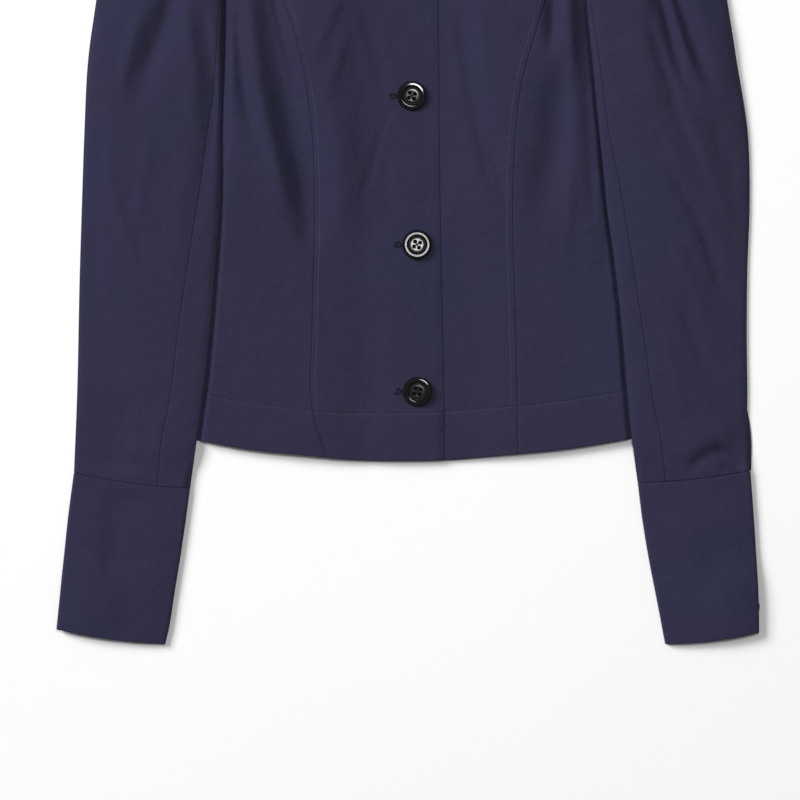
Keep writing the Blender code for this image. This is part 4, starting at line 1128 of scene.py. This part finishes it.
def addButton(name, centre, size, tilt, faceDown=False):
    # the profile turned round its axis; the four holes are pits cut into its top, and each
    # point's u is its share of the radius
    line, length = smoothLine([(size["radius"] * r, size["height"] * h)
                               for r, h in buttons["profile"]], 900)
    at = np.linspace(0.0, length[-1], buttons["rings"])
    radii, heights = [np.interp(at, length, line[:, k]) for k in (0, 1)]
    turn = np.linspace(0.0, 2 * math.pi, buttons["steps"], endpoint=False)
    x = radii[1:, None] * np.cos(turn)[None]
    y = radii[1:, None] * np.sin(turn)[None]
    z = np.broadcast_to(heights[1:, None], x.shape).copy()
    onTop = (np.arange(1, len(radii)) < np.argmax(radii))[:, None]
    spread, hole = size["spread"] / 2, size["hole"]
    pitStart, pitSlope = buttons["pitEdge"]
    shallow, more = buttons["pitDepth"]
    turned = (math.cos(buttons["turn"]), math.sin(buttons["turn"]))
    for sx in (-1, 1):
        for sy in (-1, 1):
            away = np.hypot(x - turned[0] * sx * spread + turned[1] * sy * spread,
                            y - turned[0] * sy * spread - turned[1] * sx * spread)
            pit = 1.0 - eased((away - hole * pitStart) / (hole * pitSlope))
            depth = shallow + more * np.clip(1.0 - away / hole, 0, 1)
            z -= np.where(onTop, pit * depth, 0)
    points = np.vstack([[0.0, 0.0, heights[0]], np.dstack([x, y, z]).reshape(-1, 3),
                        [0.0, 0.0, 0.0]])
    number = 1 + np.arange(x.size).reshape(x.shape)
    ends = [np.column_stack([np.full(len(edge), middle), edge, np.roll(edge, -1)])
            for middle, edge in ((0, number[0]), (len(points) - 1, number[-1]))]
    ends[1] = ends[1][:, [0, 2, 1]]
    if faceDown:
        points = points * [1.0, -1.0, -1.0] + [0.0, 0.0, size["height"]]
    else:
        points[:, 2] += points[:, 0] * tilt[0] + points[:, 1] * tilt[1]
    points = points + [centre[0], centre[1], size["base"]]
    share = np.repeat(radii[1:] / size["radius"], buttons["steps"])
    share = np.concatenate([[0.0], share, [1.0]])
    uvs = np.column_stack([share, np.zeros(len(share))]) / mm
    piece = makeMesh(name + "_gloss", points, [roundGrid(number)] + ends, uvs, buttonPaint)
    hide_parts(name)
    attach(piece, "root")


def addButtonThread(name, centre, size):
    # three strands across each diagonal pair of holes, each a short arch, one set on the other
    thread = buttons["thread"]
    face = size["base"] + size["height"] * buttons["profile"][0][1] + thread["above"]
    centres, tangents = [], []
    for number, slant in enumerate((math.pi / 4, -math.pi / 4)):
        dx, dy = [f(slant + buttons["turn"]) for f in (math.cos, math.sin)]
        height = face + thread["step"] * number
        for offset in (-thread["apart"], 0.0, thread["apart"]):
            centres.append([centre[0] - dy * offset, centre[1] + dx * offset, height])
            tangents.append([dx, dy, 0.0])
    ups = np.tile([0.0, 0.0, 1.0], (len(centres), 1))
    piece = strands(name + "_thread", np.array(centres), np.array(tangents), ups,
                    size["spread"] * math.sqrt(2) * thread["reach"], thread["radius"],
                    thread["arch"], darkThreadPaint)
    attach(piece, "root")


def frontTop(x, y):
    # height of the right front's top at each point, from its nearest grid points
    top = panels["right_front"]["top"]
    flatTop = top.reshape(-1, 3)
    away = (x[:, None] - flatTop[None, :, 0]) ** 2 + (y[:, None] - flatTop[None, :, 1]) ** 2
    near = np.argpartition(away, 4, axis=1)[:, :4]
    weight = 1.0 / (np.take_along_axis(away, near, axis=1) + 0.05)
    return (flatTop[near, 2] * weight).sum(axis=1) / weight.sum(axis=1)


def addButtonhole(name, centre):
    # an outline with a round eye at its outer end, whipped with short threads across it
    hole = dict(right=2.0, halfWidth=0.6, eye=1.9, eyeAt=-15.0, eyeGap=2.4, wander=0.5,
                pitch=0.62, length=2.3, uneven=0.9, lift=0.10, radius=0.26, arch=0.3)
    eye = np.linspace(math.radians(35), math.radians(325), 26)
    uneven = hole["wander"] * np.sin(eye * 3.0 + centre[1]) * np.sin(eye / 2.0) ** 2
    loose = hole["eye"] * (1.0 + uneven)
    eyeLine = np.column_stack([hole["eyeAt"] + loose * np.cos(eye), loose * np.sin(eye)])
    start = np.array([[hole["right"], hole["halfWidth"]],
                      [hole["eyeAt"] + hole["eyeGap"], hole["halfWidth"]]])
    path = np.vstack([start, eyeLine, (start * [1, -1])[::-1]])
    line, run = smoothLine(path, 600)
    at = np.arange(0.0, run[-1], hole["pitch"])
    x, y = (pointsAt(line, run, at) + centre).T
    dx, dy = (pointsAt(line, run, at + 0.1) - pointsAt(line, run, at - 0.1)).T
    across = np.column_stack([-dy, dx, np.zeros(len(x))])
    ups = np.tile([0.0, 0.0, 1.0], (len(x), 1))
    lengths = hole["length"] + hole["uneven"] * np.sin(np.arange(len(x)) * 2.4 + centre[1])
    centres = np.column_stack([x, y, frontTop(x, y) + hole["lift"]])
    sew(strands(name, centres, across, ups, lengths, hole["radius"], hole["arch"],
                darkThreadPaint), "right_front")


for number, (centre, tilt) in enumerate(zip(buttons["centres"], buttons["tilts"]), start=1):
    addButton("front_button_%d" % number, centre, buttons["front"], tilt)
    addButtonThread("front_button_%d" % number, centre, buttons["front"])
    addButtonhole("buttonhole_%d" % number, centre)
for side in inward:
    addButton(side + "_cuff_button", cuffs[side]["button"], buttons["cuff"], (0, 0), True)
print("buttons made")


# vent strip above the left cuff

def addVent():
    # a narrow strip under the sleeve's outer fold
    strip = dict(outer=[(264.9, -156), (266.6, -166), (268, -180), (267.8, -203.4)],
                 inner=[(262, -154), (258.5, -166), (258.5, -180), (258.5, -203)],
                 thickness=0.5, height=0.28, rim=0.2, rows=24, columns=7, length=48.0)
    shares = withEnds(strip["rows"], strip["length"], cloth["smallColumn"])
    outer, inner = along(strip["outer"], shares)[::-1], along(strip["inner"], shares)[::-1]
    grid = between(inner, outer, np.linspace(0.0, 1.0, strip["columns"]))
    mid = np.dstack([grid, np.full(grid.shape[:2], strip["height"])])
    addCloth("left_cuff_vent", mid, strip["thickness"], rim=strip["rim"],
             node="left_cuff_vent")


addVent()


# floor, and the cloth pieces attached to the root

def addStage():
    # in metres, just below the part
    bpy.ops.mesh.primitive_plane_add(size=12.0, location=(0.0, 0.0, -0.0004))
    floor = bpy.context.object
    floor.name = "floor"
    floor.data.materials.append(paintFloor())


addStage()
for name, panel in panels.items():
    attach(panel["piece"], "root")


# light and camera

def addLight(name, location, aim, size, power, mirrored=False):
    light = bpy.data.lights.new(name, "AREA")
    light.shape = "ELLIPSE" if mirrored else "RECTANGLE"
    light.size, light.size_y = size
    light.energy = power
    lamp = bpy.data.objects.new(name, light)
    bpy.context.scene.collection.objects.link(lamp)
    lamp.visible_glossy = mirrored
    lamp.location = location
    towards = Vector(aim) - Vector(location)
    lamp.rotation_euler = towards.to_track_quat("-Z", "Y").to_euler()


def addCamera():
    # straight down; the frame is 624 mm across at the height of the cloth
    shot = dict(centre=(-6.4, -148.4), away=2400.0, height=3.0, across=624.0, sensor=36.0)
    data = bpy.data.cameras.new("camera")
    data.sensor_width = shot["sensor"]
    data.lens = shot["sensor"] * (shot["away"] - shot["height"]) / shot["across"]
    data.clip_end = 50.0
    camera = bpy.data.objects.new("camera", data)
    camera.location = (shot["centre"][0] * mm, shot["centre"][1] * mm, shot["away"] * mm)
    bpy.context.scene.collection.objects.link(camera)
    bpy.context.scene.camera = camera


addLight("keyLight", location=(-6.6, 3.6, 4.95), aim=(0.0, -0.1, 0.0), size=(3.9, 3.9),
         power=1010.0)
addLight("overheadLight", location=(0.193, 0.344, 2.41), aim=(0.0, 0.0, 0.0),
         size=(0.50, 0.50), power=20.0, mirrored=True)
world = bpy.data.worlds.new("studio")
world.use_nodes = True
sky = world.node_tree.nodes["Background"]
sky.inputs["Color"].default_value = (1.0, 1.0, 1.0, 1.0)
sky.inputs["Strength"].default_value = 0.175
bpy.context.scene.world = world
bpy.context.scene.view_settings.view_transform = "Standard"
addCamera()
print("lights and camera made")
